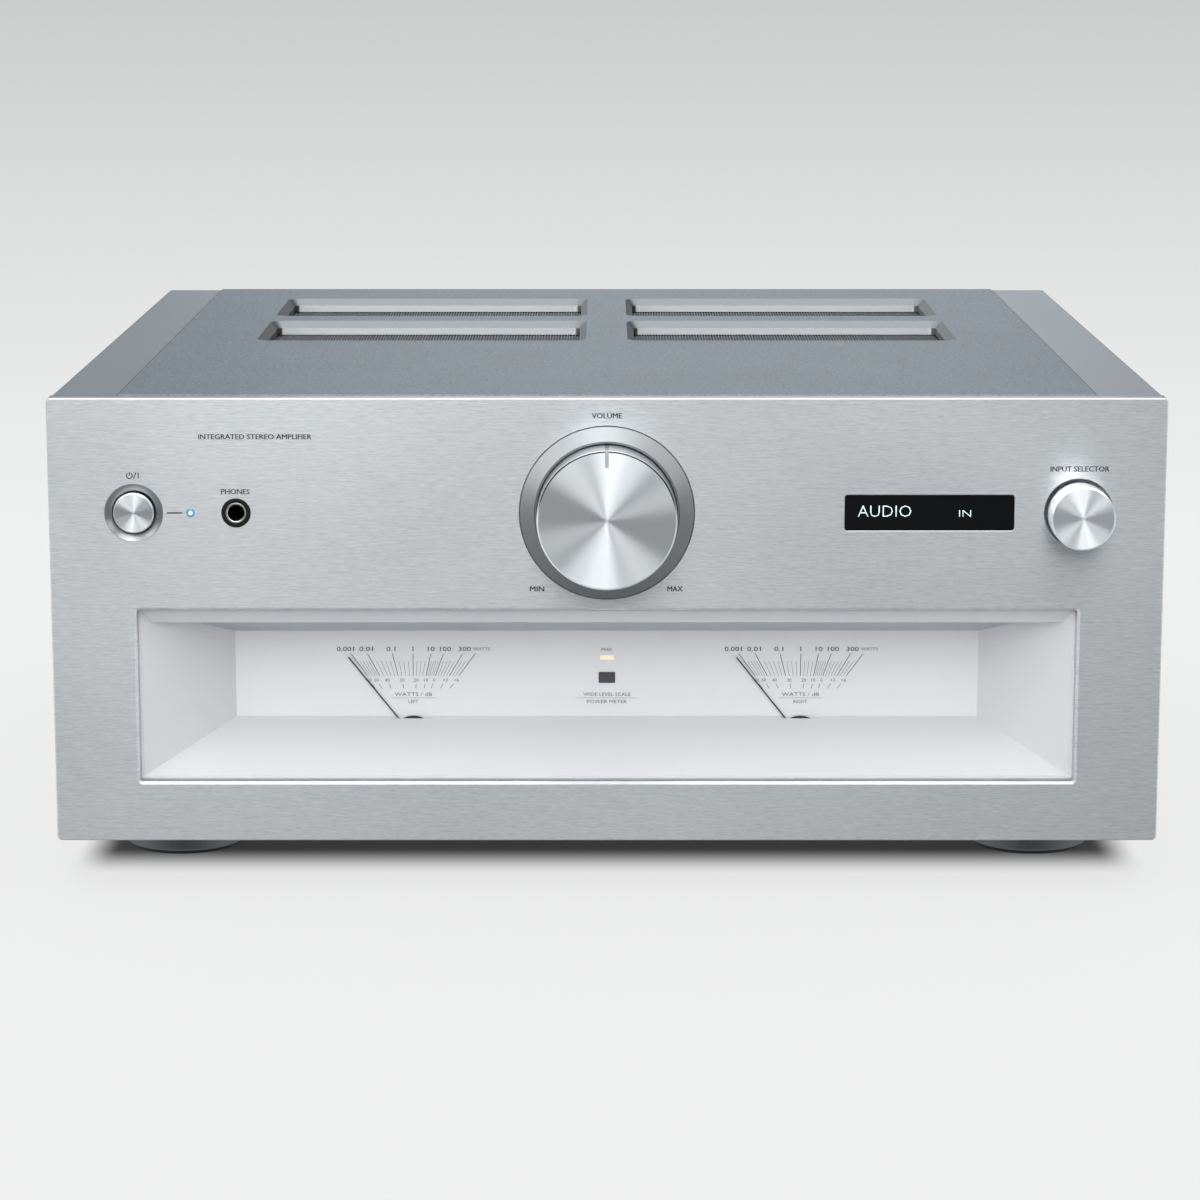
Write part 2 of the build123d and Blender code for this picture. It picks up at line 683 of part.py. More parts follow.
with BuildPart() as phones_socket:
    turned(
        [
            (PHONES_BORE_R, RING_SEAT_Y),
            (PHONES_RING_R + 0.05, RING_SEAT_Y),
            (PHONES_RING_R + 0.05, PHONES_FRONT_Y + 0.3),
            (PHONES_RING_R + 0.35, PHONES_FRONT_Y),
            (PHONES_R - 0.4, PHONES_FRONT_Y),
            (PHONES_R, PHONES_FRONT_Y + 0.4),
            (PHONES_R, SUBFRAME_BACK_Y),
            (PHONES_BORE_R, SUBFRAME_BACK_Y),
        ],
        PHONES_X,
        CONTROL_Z,
    )
    block(around(PHONES_X, 8), (SUBFRAME_BACK_Y, PHONES_END_Y), around(CONTROL_Z, 8))
    drilled(PHONES_BORE_R, (SUBFRAME_BACK_Y, PHONES_END_Y - 3), [(PHONES_X, CONTROL_Z)])
phones_socket.part.label = "phones_socket"
export_step(phones_socket.part, "parts/phones_socket.step")

with BuildPart() as phones_ring:
    turned(
        [
            (PHONES_BORE_R, PHONES_FRONT_Y + 0.2),
            (PHONES_BORE_R + 0.2, PHONES_FRONT_Y),
            (PHONES_RING_R - 0.15, PHONES_FRONT_Y),
            (PHONES_RING_R, PHONES_FRONT_Y + 0.15),
            (PHONES_RING_R, RING_SEAT_Y),
            (PHONES_BORE_R, RING_SEAT_Y),
        ],
        PHONES_X,
        CONTROL_Z,
    )
phones_ring.part.label = "phones_ring"
export_step(phones_ring.part, "parts/phones_ring.step")

# ---------------------------------------------------------------- display

with BuildPart() as display_window:
    with BuildSketch(front_plane(FACE_BACK_Y, DISPLAY_X, CONTROL_Z)):
        RectangleRounded(DISPLAY_SIZE[0] - 0.2, DISPLAY_SIZE[1] - 0.2, DISPLAY_CORNER_R)
    extrude(amount=FACE_THICK - 0.5)
display_window.part.label = "display_window"
export_step(display_window.part, "parts/display_window.step")

with BuildPart() as display_module:
    block(around(DISPLAY_X, 36), (SUBFRAME_BACK_Y, ENCODER_BACK_Y), around(CONTROL_Z, 9))
display_module.part.label = "display_module"
export_step(display_module.part, "parts/display_module.step")

# ---------------------------------------------------------------- meters

with BuildPart() as meter_window:
    block(around(0, WINDOW_HALF - 0.1), PANE_Y, around(WINDOW_MID_Z, WINDOW_HEIGHT / 2 - 0.1))
    fillet(meter_window.edges().filter_by(Axis.Y), WINDOW_CORNER_R)
meter_window.part.label = "meter_window"
export_step(meter_window.part, "parts/meter_window.step")


def room_loft(y, extra_front, extra_back, mode):
    """The meter room's taper from the window's outline at y to the dial plate, each end grown all round."""
    with BuildSketch(front_plane(DIAL_Y, z=DIAL_MID_Z)) as back:
        Rectangle(2 * (DIAL_HALF + extra_back), DIAL_HEIGHT + 2 * extra_back)
    with BuildSketch(front_plane(y, z=WINDOW_MID_Z)) as front:
        Rectangle(2 * (WINDOW_HALF + extra_front), WINDOW_HEIGHT + 2 * extra_front)
    loft([back.sketch, front.sketch], mode=mode)


# The room's mouth is a sleeve through the panel, up to the back of the pane
MOUTH_Y = PANE_Y[1] + 0.1
MOUTH_GAP = 0.1
LIP_TOP_Z = WINDOW_Z[1] - 0.5
LIP_PROFILE = (
    (MOUTH_Y + 0.2, LIP_TOP_Z),
    (MOUTH_Y + 0.2, WINDOW_Z[1] - MOUTH_RIM - MOUTH_GAP),
    (LIP_BACK_Y - 1.6, LIP_BOTTOM_Z),
    (LIP_BACK_Y, LIP_BOTTOM_Z),
    (LIP_BACK_Y, LIP_TOP_Z),
)
NEEDLE_SLOT_HALF = 7.4
NEEDLE_SLOT_DEPTH = 1.6

with BuildPart() as meter_housing:
    room_loft(SUBFRAME_BACK_Y, ROOM_WALL, ROOM_WALL, Mode.ADD)
    with BuildSketch(front_plane(SUBFRAME_BACK_Y, z=WINDOW_MID_Z)) as sleeve:
        RectangleRounded(2 * (WINDOW_HALF - MOUTH_GAP), WINDOW_HEIGHT - 2 * MOUTH_GAP, WINDOW_CORNER_R)
    extrude(sleeve.sketch, amount=SUBFRAME_BACK_Y - MOUTH_Y)
    block(
        around(0, WINDOW_HALF + 8),
        (SUBFRAME_BACK_Y, SUBFRAME_BACK_Y + ROOM_WALL),
        (WINDOW_Z[0] - 7, WINDOW_Z[1] + 7),
    )
    room_loft(MOUTH_Y, -MOUTH_RIM - MOUTH_GAP, 0, Mode.SUBTRACT)
    for x, z in METER_CENTRES:
        block(
            around(x, NEEDLE_SLOT_HALF),
            (DIAL_Y - NEEDLE_SLOT_DEPTH, DIAL_Y),
            (z, DIAL_Z[0] + 2),
            Mode.SUBTRACT,
        )
    with BuildSketch(Plane.YZ.offset(-WINDOW_HALF + 1)) as lip:
        with BuildLine():
            Polyline(*LIP_PROFILE, close=True)
        make_face()
    extrude(lip.sketch, amount=2 * WINDOW_HALF - 2)
meter_housing.part.label = "meter_housing"
export_step(meter_housing.part, "parts/meter_housing.step")

DIAL_SPAN = (DIAL_Y, DIAL_Y + DIAL_THICK)
INDICATOR_Z = 83.9
INDICATOR_SIZE = (5.6, 1.9)
SENSOR_Z = 75.7
SENSOR_SIZE = (6.5, 4.4)

with BuildPart() as dial_plate:
    block(around(0, DIAL_HALF + 5), DIAL_SPAN, (PIVOT_Z - 9, DIAL_Z[1] + 5))
    drilled(ARBOR_R + 1.5, DIAL_SPAN, METER_CENTRES)
    window_cut(DIAL_SPAN, 0, INDICATOR_Z, INDICATOR_SIZE[0] + 0.1, INDICATOR_SIZE[1] + 0.1, 0.3)
    window_cut(DIAL_SPAN, 0, SENSOR_Z, SENSOR_SIZE[0] + 0.1, SENSOR_SIZE[1] + 0.1, 0.3)
dial_plate.part.label = "dial_plate"
export_step(dial_plate.part, "parts/dial_plate.step")


def dial_lens(size, z):
    """A small lens that stands slightly proud of the dial plate."""
    with BuildSketch(front_plane(DIAL_SPAN[1], 0, z)) as lens:
        RectangleRounded(*size, 0.25)
    extrude(lens.sketch, amount=DIAL_THICK + 0.3)


with BuildPart() as peak_indicator:
    dial_lens(INDICATOR_SIZE, INDICATOR_Z)
peak_indicator.part.label = "peak_indicator"
export_step(peak_indicator.part, "parts/peak_indicator.step")

with BuildPart() as remote_sensor:
    dial_lens(SENSOR_SIZE, SENSOR_Z)
remote_sensor.part.label = "remote_sensor"
export_step(remote_sensor.part, "parts/remote_sensor.step")

MOVEMENT_Y = (DIAL_SPAN[1], DIAL_SPAN[1] + 24)
ARBOR_END_Y = MOVEMENT_Y[0] + 12

for name, x in (("meter_needle_left", -METER_X), ("meter_needle_right", METER_X)):
    with BuildPart() as needle:
        turned(
            [
                (0, NEEDLE_Y - 0.3),
                (HUB_R - 0.1, NEEDLE_Y - 0.3),
                (HUB_R, NEEDLE_Y - 0.2),
                (HUB_R, NEEDLE_Y + 0.3),
                (ARBOR_R, NEEDLE_Y + 0.3),
                (ARBOR_R, ARBOR_END_Y),
                (0, ARBOR_END_Y),
            ],
            x,
            PIVOT_Z,
        )
        with Locations(Location((x, NEEDLE_Y, PIVOT_Z), (0, NEEDLE_REST_ANGLE, 0))):
            Box(0.5, 0.3, NEEDLE_LENGTH, align=(Align.CENTER, Align.CENTER, Align.MIN))
    needle.part.label = name
    export_step(needle.part, f"parts/{name}.step")

with BuildPart() as meter_movements:
    for x, z in METER_CENTRES:
        block(around(x, 18), MOVEMENT_Y, around(z, 12.5))
    drilled(ARBOR_R + RUNNING_GAP, (MOVEMENT_Y[0], ARBOR_END_Y + 0.5), METER_CENTRES)
meter_movements.part.label = "meter_movements"
export_step(meter_movements.part, "parts/meter_movements.step")

with BuildPart() as meter_lamps:
    block(around(0, 170), (LIP_BACK_Y, LIP_BACK_Y + 1.2), (LIP_BOTTOM_Z + 0.5, LIP_BOTTOM_Z + 2.5))
meter_lamps.part.label = "meter_lamps"
export_step(meter_lamps.part, "parts/meter_lamps.step")

# ---------------------------------------------------------------- power supply

with BuildPart() as power_transformer:
    with BuildSketch(Plane.XZ.offset(-TRANSFORMER_Y)):
        with Locations((TRANSFORMER_R - 20, FLOOR_TOP_Z + 32)):
            RectangleRounded(40, 60, 14)
    revolve(axis=Axis((0, TRANSFORMER_Y, 0), (0, 0, 1)))
    with Locations((0, TRANSFORMER_Y, FLOOR_TOP_Z)):
        Cylinder(45, 3.5, align=(Align.CENTER, Align.CENTER, Align.MIN))
        Cylinder(5, 68, align=(Align.CENTER, Align.CENTER, Align.MIN))
    with Locations((0, TRANSFORMER_Y, FLOOR_TOP_Z + 60.5)):
        Cylinder(45, 3, align=(Align.CENTER, Align.CENTER, Align.MIN))
power_transformer.part.label = "power_transformer"
export_step(power_transformer.part, "parts/power_transformer.step")

SUPPLY_BOARD_Z = (FLOOR_TOP_Z + 8, FLOOR_TOP_Z + 8 + BOARD_THICK)
SUPPLY_Y = (-10.0, 160.0)


def stand_offs(corners, z_top):
    """Round pillars from the base plate up to a board."""
    for x, y in corners:
        with Locations((x, y, FLOOR_TOP_Z)):
            Cylinder(3, z_top - FLOOR_TOP_Z, align=(Align.CENTER, Align.CENTER, Align.MIN))


with BuildPart() as supply_board:
    block(around(0, 36), SUPPLY_Y, SUPPLY_BOARD_Z)
    corners = [(x, y) for x in (-31, 31) for y in (SUPPLY_Y[0] + 6, SUPPLY_Y[1] - 6)]
    stand_offs(corners, SUPPLY_BOARD_Z[0])
    block(around(0, 20), around(130, 10), (SUPPLY_BOARD_Z[1], SUPPLY_BOARD_Z[1] + 26))
supply_board.part.label = "supply_board"
export_step(supply_board.part, "parts/supply_board.step")

with BuildPart() as supply_capacitors:
    with Locations((0, 50, SUPPLY_BOARD_Z[1])):
        with GridLocations(34, 34, 2, 3):
            Cylinder(CAPACITOR_R, 52, align=(Align.CENTER, Align.CENTER, Align.MIN))
    fillet(supply_capacitors.edges().group_by(Axis.Z)[-1], 1.5)
supply_capacitors.part.label = "supply_capacitors"
export_step(supply_capacitors.part, "parts/supply_capacitors.step")

# ---------------------------------------------------------------- amplifier stages

AMP_BOARD_Z = (FLOOR_TOP_Z + 10, FLOOR_TOP_Z + 10 + BOARD_THICK)

with BuildPart() as amplifier_boards:
    for side in (-1, 1):
        x = side * SINK_X
        block(around(x, SINK_SIZE[0] / 2), around(SINK_Y, SINK_SIZE[1] / 2 - 6), AMP_BOARD_Z)
        stand_offs([(x + dx, SINK_Y + dy) for dx in (-46, 46) for dy in (-74, 0, 74)], AMP_BOARD_Z[0])
        with Locations((x, SINK_Y, AMP_BOARD_Z[1])):
            with GridLocations(40, 44, 2, 3):
                Box(26, 20, 22, align=(Align.CENTER, Align.CENTER, Align.MIN))
amplifier_boards.part.label = "amplifier_boards"
export_step(amplifier_boards.part, "parts/amplifier_boards.step")

FIN_COUNT = 14
FIN_THICK = 2.2

with BuildPart() as heat_sinks:
    for side in (-1, 1):
        x = side * SINK_X
        block(around(x, SINK_SIZE[0] / 2), around(SINK_Y, SINK_SIZE[1] / 2), (SINK_BASE_Z, SINK_BASE_Z + 8))
        with Locations((x, SINK_Y, SINK_BASE_Z + 8)):
            with GridLocations((SINK_SIZE[0] - FIN_THICK) / (FIN_COUNT - 1), 0, FIN_COUNT, 1):
                Box(
                    FIN_THICK,
                    SINK_SIZE[1],
                    SINK_TOP_Z - SINK_BASE_Z - 8,
                    align=(Align.CENTER, Align.CENTER, Align.MIN),
                )
        for dy in (-1, 1):
            foot_y = SINK_Y + dy * (SINK_SIZE[1] / 2 - 1.5)
            block(around(x, SINK_SIZE[0] / 2), around(foot_y, 1.5), (FLOOR_TOP_Z, SINK_BASE_Z))
heat_sinks.part.label = "heat_sinks"
export_step(heat_sinks.part, "parts/heat_sinks.step")

# ---------------------------------------------------------------- control and input boards

CONTROL_BOARD_Y = (ENCODER_BACK_Y, ENCODER_BACK_Y + BOARD_THICK)

with BuildPart() as control_board:
    block((-60, 206), CONTROL_BOARD_Y, (125, 175))
    for x in (-50, 60, 168):
        block(around(x, 8), (CONTROL_BOARD_Y[1], CONTROL_BOARD_Y[1] + 6), around(151, 8))
    for x in (-54, 66, 200):
        block(around(x, 3), (SUBFRAME_BACK_Y, CONTROL_BOARD_Y[0]), around(131, 3))
control_board.part.label = "control_board"
export_step(control_board.part, "parts/control_board.step")

INPUT_BOARD_Y = (176.0, 176.0 + BOARD_THICK)
SOCKET_BODY_Y = (INPUT_BOARD_Y[1], REAR_PLATE_Y)

with BuildPart() as input_board:
    block((-84, 186), INPUT_BOARD_Y, (106, 170))
    for x in (-74, 42, 158):
        block(around(x, 4), (INPUT_BOARD_Y[1], REAR_PLATE_Y), around(163, 4))
input_board.part.label = "input_board"
export_step(input_board.part, "parts/input_board.step")

# ---------------------------------------------------------------- mains inlet

INLET_FLANGE = (50.0, 23.0)
INLET_MOUTH = (24.4, 16.4)
INLET_MOUTH_Y = INLET_RIM_Y - 17
INLET_CORNER = 4.0


def inlet_outline(width, height, corner):
    """The corners of an inlet's mouth, with the two upper ones cut off."""
    return [
        (-width / 2, -height / 2),
        (width / 2, -height / 2),
        (width / 2, height / 2 - corner),
        (width / 2 - corner, height / 2),
        (-width / 2 + corner, height / 2),
        (-width / 2, height / 2 - corner),
    ]


with BuildPart() as mains_inlet:
    with BuildSketch(front_plane(INLET_RIM_Y, MAINS_X, MAINS_Z)):
        RectangleRounded(*INLET_FLANGE, 3)
    extrude(amount=INLET_RIM_Y - REAR_FACE_Y)
    drilled(REAR_SCREW_R + 0.1, (REAR_FACE_Y, INLET_RIM_Y), INLET_SCREWS)
    with BuildSketch(front_plane(REAR_FACE_Y, MAINS_X, MAINS_Z)):
        RectangleRounded(*MAINS_BODY, 0.9)
    extrude(amount=19)
    with BuildSketch(front_plane(INLET_RIM_Y, MAINS_X, MAINS_Z)):
        with BuildLine():
            Polyline(*inlet_outline(*INLET_MOUTH, INLET_CORNER), close=True)
        make_face()
    extrude(amount=INLET_RIM_Y - INLET_MOUTH_Y, mode=Mode.SUBTRACT)
mains_inlet.part.label = "mains_inlet"
export_step(mains_inlet.part, "parts/mains_inlet.step")

BLADE_TIP_Y = INLET_RIM_Y - 5

with BuildPart() as mains_pins:
    for dx, dz in ((-7, -1.5), (0, 2.5), (7, -1.5)):
        block(
            around(MAINS_X + dx, 1),
            (INLET_MOUTH_Y, BLADE_TIP_Y),
            around(MAINS_Z + dz, 2),
        )
mains_pins.part.label = "mains_pins"
export_step(mains_pins.part, "parts/mains_pins.step")

# ---------------------------------------------------------------- line and digital sockets

CORE_R = 3.2
CORE_HOLE_R = 1.65

with BuildPart() as line_sockets:
    for x, z in LINE_CENTRES:
        turned(
            [
                (CORE_R + 0.05, SOCKET_BODY_Y[0]),
                (LINE_SHELL_R, SOCKET_BODY_Y[0]),
                (LINE_SHELL_R, REAR_FACE_Y),
                (LINE_NUT_R, REAR_FACE_Y),
                (LINE_NUT_R, REAR_FACE_Y + 1.6),
                (LINE_SHELL_R, REAR_FACE_Y + 1.6),
                (LINE_SHELL_R, LINE_TIP_Y - 0.3),
                (LINE_SHELL_R - 0.3, LINE_TIP_Y),
                (CORE_R + 0.05, LINE_TIP_Y),
            ],
            x,
            z,
        )
line_sockets.part.label = "line_sockets"
export_step(line_sockets.part, "parts/line_sockets.step")

with BuildPart() as line_socket_cores:
    for x, z in LINE_CENTRES:
        turned(
            [
                (0, SOCKET_BODY_Y[0]),
                (CORE_R, SOCKET_BODY_Y[0]),
                (CORE_R, LINE_TIP_Y - 0.2),
                (CORE_HOLE_R, LINE_TIP_Y - 0.2),
                (CORE_HOLE_R, REAR_FACE_Y + 1),
                (0, REAR_FACE_Y + 1),
            ],
            x,
            z,
        )
line_socket_cores.part.label = "line_socket_cores"
export_step(line_socket_cores.part, "parts/line_socket_cores.step")

USB_MOUTH = (9.0, 8.4)
OPTICAL_MOUTH = (8.4, 7.6)
DIGITAL_TIP_Y = REAR_FACE_Y + 1.2
SHUTTER_DEPTH = 1.0  # an optical socket's mouth is closed by its sprung shutter


def digital_socket(x, body, mouth, mouth_depth):
    """A square socket through the rear panel, with a square mouth."""
    block(around(x, body[0] / 2), (INPUT_BOARD_Y[1], DIGITAL_TIP_Y), around(DIGITAL_Z, body[1] / 2))
    block(
        around(x, mouth[0] / 2),
        (DIGITAL_TIP_Y - mouth_depth, DIGITAL_TIP_Y),
        around(DIGITAL_Z, mouth[1] / 2),
        Mode.SUBTRACT,
    )


with BuildPart() as digital_sockets:
    digital_socket(USB_X, USB_BODY, USB_MOUTH, 10)
    block(
        around(USB_X, 2.8),
        (DIGITAL_TIP_Y - 10, DIGITAL_TIP_Y - 5.2),
        around(DIGITAL_Z, 1.6),
    )
    for x in OPTICAL_XS:
        digital_socket(x, OPTICAL_BODY, OPTICAL_MOUTH, SHUTTER_DEPTH)
digital_sockets.part.label = "digital_sockets"
export_step(digital_sockets.part, "parts/digital_sockets.step")

# ---------------------------------------------------------------- speaker terminals

POST_FLANGE_R = 10.0
POST_FLANGE_Y = REAR_FACE_Y + 3
POST_INNER_Y = REAR_PLATE_Y - 14
WASHER_Y = (POST_FLANGE_Y, POST_FLANGE_Y + 1.2)
WASHER_R = 6.5
CAP_MOUTH_R = 2.8

with BuildPart() as terminal_posts:
    for x in TERMINAL_XS:
        turned(
            [
                (0, POST_INNER_Y),
                (POST_NECK_R - 1.5, POST_INNER_Y),
                (POST_NECK_R - 1.5, REAR_PLATE_Y - 3),
                (POST_NECK_R + 3, REAR_PLATE_Y - 3),
                (POST_NECK_R + 3, REAR_PLATE_Y),
                (POST_NECK_R, REAR_PLATE_Y),
                (POST_NECK_R, REAR_FACE_Y),
                (POST_FLANGE_R, REAR_FACE_Y),
                (POST_FLANGE_R, POST_FLANGE_Y - 0.5),
                (POST_FLANGE_R - 0.5, POST_FLANGE_Y),
                (TERMINAL_POST_R, POST_FLANGE_Y),
                (TERMINAL_POST_R, TERMINAL_TIP_Y - 0.3),
                (TERMINAL_POST_R - 0.3, TERMINAL_TIP_Y),
                (BANANA_R, TERMINAL_TIP_Y),
                (BANANA_R, POST_FLANGE_Y + 1),
                (0, POST_FLANGE_Y + 1),
            ],
            x,
            TERMINAL_Z,
        )
terminal_posts.part.label = "terminal_posts"
export_step(terminal_posts.part, "parts/terminal_posts.step")

KNURL_COUNT = 20
KNURL_R = 0.7

for number, x in enumerate(TERMINAL_XS, start=1):
    with BuildPart() as washer:
        turned(
            [
                (TERMINAL_POST_R + RUNNING_GAP, WASHER_Y[0] + 0.02),
                (WASHER_R, WASHER_Y[0] + 0.02),
                (WASHER_R, WASHER_Y[1]),
                (TERMINAL_POST_R + RUNNING_GAP, WASHER_Y[1]),
            ],
            x,
            TERMINAL_Z,
        )
    washer.part.label = f"terminal_washer_{number}"
    export_step(washer.part, f"parts/terminal_washer_{number}.step")

    with BuildPart() as cap:
        turned(
            [
                (TERMINAL_POST_R + RUNNING_GAP, WASHER_Y[1] + 0.02),
                (WASHER_R, WASHER_Y[1] + 0.02),
                (TERMINAL_CAP_R, WASHER_Y[1] + 1.5),
                (TERMINAL_CAP_R, TERMINAL_END_Y - 1.2),
                (TERMINAL_CAP_R - 1.2, TERMINAL_END_Y),
                (CAP_MOUTH_R + 0.6, TERMINAL_END_Y),
                (CAP_MOUTH_R, TERMINAL_END_Y - 0.6),
                (CAP_MOUTH_R, TERMINAL_TIP_Y + 0.5),
                (TERMINAL_POST_R + RUNNING_GAP, TERMINAL_TIP_Y + 0.5),
            ],
            x,
            TERMINAL_Z,
        )
        with BuildSketch(front_plane(TERMINAL_END_Y, x, TERMINAL_Z)):
            with PolarLocations(TERMINAL_CAP_R + 0.2, KNURL_COUNT):
                Circle(KNURL_R)
        extrude(amount=TERMINAL_END_Y - WASHER_Y[1] - 3, mode=Mode.SUBTRACT)
    cap.part.label = f"terminal_cap_{number}"
    export_step(cap.part, f"parts/terminal_cap_{number}.step")

with BuildPart() as ground_screw:
    turned(
        [
            (0, REAR_PLATE_Y - 6),
            (2, REAR_PLATE_Y - 6),
            (2, REAR_FACE_Y + 0.3),
            (5.6, REAR_FACE_Y + 0.3),
            (5.6, REAR_FACE_Y + 1.3),
            (4.8, REAR_FACE_Y + 1.3),
            (4.8, REAR_FACE_Y + 7.6),
            (4.4, REAR_FACE_Y + 8),
            (0, REAR_FACE_Y + 8),
        ],
        GROUND_X,
        GROUND_Z,
    )
    with BuildSketch(front_plane(REAR_FACE_Y + 8, GROUND_X, GROUND_Z)):
        with PolarLocations(5, 16):
            Circle(0.6)
    extrude(amount=6.7, mode=Mode.SUBTRACT)
ground_screw.part.label = "ground_screw"
export_step(ground_screw.part, "parts/ground_screw.step")
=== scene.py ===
import math

import bmesh
import bpy
from mathutils import Matrix, Vector


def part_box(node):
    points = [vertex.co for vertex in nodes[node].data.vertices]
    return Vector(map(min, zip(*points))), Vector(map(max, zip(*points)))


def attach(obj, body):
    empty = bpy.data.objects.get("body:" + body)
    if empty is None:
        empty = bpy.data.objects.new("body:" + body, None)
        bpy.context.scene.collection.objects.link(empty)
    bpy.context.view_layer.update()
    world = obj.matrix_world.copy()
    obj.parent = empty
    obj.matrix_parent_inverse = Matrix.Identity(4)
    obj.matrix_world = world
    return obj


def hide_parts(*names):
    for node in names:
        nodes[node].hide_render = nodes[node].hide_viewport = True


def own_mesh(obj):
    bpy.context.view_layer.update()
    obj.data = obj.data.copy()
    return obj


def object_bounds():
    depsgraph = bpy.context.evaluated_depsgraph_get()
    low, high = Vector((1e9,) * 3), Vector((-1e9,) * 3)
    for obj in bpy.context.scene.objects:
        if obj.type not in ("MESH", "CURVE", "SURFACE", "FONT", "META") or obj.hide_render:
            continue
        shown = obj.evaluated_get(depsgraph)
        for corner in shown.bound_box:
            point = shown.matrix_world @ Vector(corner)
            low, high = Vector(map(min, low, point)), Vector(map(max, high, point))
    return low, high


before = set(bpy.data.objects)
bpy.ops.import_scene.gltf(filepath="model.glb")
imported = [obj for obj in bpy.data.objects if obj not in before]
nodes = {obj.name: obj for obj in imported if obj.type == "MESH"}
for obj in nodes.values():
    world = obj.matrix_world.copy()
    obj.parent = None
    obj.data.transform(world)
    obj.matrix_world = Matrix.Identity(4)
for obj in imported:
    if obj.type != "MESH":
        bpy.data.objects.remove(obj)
cad_low, cad_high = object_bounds()
scene = bpy.context.scene
scene.view_settings.view_transform = "Standard"

# Looks of a stereo amplifier, with its studio. The faceplate looks along -Y, and Z is up.

MM = 0.001
MICRON = 0.000001


# ---------------------------------------------------------------- node helpers


class Recipe:
    """A material made of nodes round one Principled shader."""

    def __init__(self, name, **values):
        old = bpy.data.materials.get(name)
        if old:
            old.name = name + "_plain"
        self.material = bpy.data.materials.new(name)
        self.material.use_nodes = True
        self.tree = self.material.node_tree
        self.shader = self.tree.nodes["Principled BSDF"]
        self.output = self.tree.nodes["Material Output"]
        for socket, value in values.items():
            self.set(self.shader, socket.replace("_", " "), value)

    def set(self, node, socket, value):
        """Links value if it is an output socket, and sets it otherwise."""
        target = node.inputs[socket]
        if isinstance(value, bpy.types.NodeSocket):
            self.tree.links.new(value, target)
        elif target.type == "RGBA" and len(value) == 3:
            target.default_value = (*value, 1)
        else:
            target.default_value = value

    def node(self, kind, output=0, settings=None, **inputs):
        """Adds a node and returns one output. An input named _0 is the first, and _ stands for a space."""
        made = self.tree.nodes.new("ShaderNode" + kind)
        for key, value in (settings or {}).items():
            setattr(made, key, value)
        for socket, value in inputs.items():
            self.set(made, int(socket[1:]) if socket[0] == "_" else socket.replace("_", " "), value)
        return made.outputs[output]

    def math(self, operation, a, b=0.0, c=0.0):
        return self.node("Math", settings={"operation": operation}, _0=a, _1=b, _2=c)

    def vector(self, operation, a, b=(0, 0, 0), output=0):
        return self.node("VectorMath", output, {"operation": operation}, _0=a, _1=b)

    def place(self):
        """Coordinates that stay with the piece, in metres."""
        return self.node("TexCoord", "Object")

    def noise(self, coordinates, scale, detail, roughness):
        """Noise from 0 to 1 with scale as features per metre on each axis."""
        scaled = self.vector("MULTIPLY", coordinates, scale)
        return self.node("TexNoise", "Fac", Vector=scaled, Scale=1.0, Detail=detail, Roughness=roughness)

    def between(self, factor, low, high):
        """A number from low to high as factor goes from 0 to 1."""
        return self.node("MapRange", _0=factor, _1=0.0, _2=1.0, _3=low, _4=high)

    def step(self, value, start, end):
        """0 below start and 1 above end, smooth in between."""
        smooth = {"interpolation_type": "SMOOTHSTEP"}
        return self.node("MapRange", settings=smooth, _0=value, _1=start, _2=end, _3=0.0, _4=1.0)

    def axis(self, name, vector=None):
        """One component of vector, or of the place on the piece."""
        return self.node("SeparateXYZ", name, Vector=vector or self.place())

    def base(self):
        """The output that gives the surface its colour."""
        return self.shader.inputs["Base Color"].links[0].from_socket

    def glow(self, colour, strength):
        self.set(self.shader, "Emission Color", colour)
        self.set(self.shader, "Emission Strength", strength)

    def mix(self, factor, a, b):
        made = self.tree.nodes.new("ShaderNodeMix")
        made.data_type = "RGBA"
        self.set(made, 0, factor)
        self.set(made, 6, a)
        self.set(made, 7, b)
        return made.outputs[2]

    def bump(self, height, strength, distance):
        normal = self.node("Bump", Height=height, Strength=strength, Distance=distance)
        self.set(self.shader, "Normal", normal)


def tone(colour, factor):
    """The colour made darker or lighter by factor."""
    return tuple(c * factor for c in colour)


def spread(recipe, factor, colour, contrast):
    """From darker to lighter than colour by the share contrast, as factor goes from 0 to 1."""
    return recipe.mix(factor, tone(colour, 1 - contrast), tone(colour, 1 + contrast))


def radius_from(recipe, x, z):
    """Distance from the line through x, z along Y, and the vector from it, in metres."""
    offset = recipe.vector("SUBTRACT", recipe.node("NewGeometry", "Position"), (x, 0, z))
    flat = recipe.vector("MULTIPLY", offset, (1, 0, 1))
    return recipe.vector("LENGTH", flat, output="Value"), flat


# ---------------------------------------------------------------- metals

# Darker places, as shares of the metal's own colour. The top face, chamfer and rim tones are painted
# shade.
TOP_FACE_PAINTED_SHADE = 0.42
CHAMFER_PAINTED_SHADE = 0.6
DISH_TONE = 0.42
POINTER_TONE = 0.5
RIM_PAINTED_SHADE = 0.01

# Features per metre of the hairlines, along X, Y and Z
FINE_HAIR = (260.0, 500.0, 3000.0)
LONG_HAIR = (90.0, 300.0, 1600.0)
CLOUDS = (9.0, 9.0, 14.0)
GROOVES_PER_METRE = 2600.0
MOTTLE_PER_METRE = 22.0
HAIR_DEPTH = 20 * MICRON
GRAIN_DEPTH = 30 * MICRON


def band(recipe, value, low, high, soft):
    """1 where value is between low and high, 0 outside, over a soft edge."""
    above = recipe.step(value, low - soft, low + soft)
    return recipe.math("MULTIPLY", above, recipe.step(value, high + soft, high - soft))


def facing_up(recipe):
    """How far a surface faces up, from -1 to 1, in the piece's own frame."""
    return recipe.axis("Z", recipe.node("TexCoord", "Normal"))


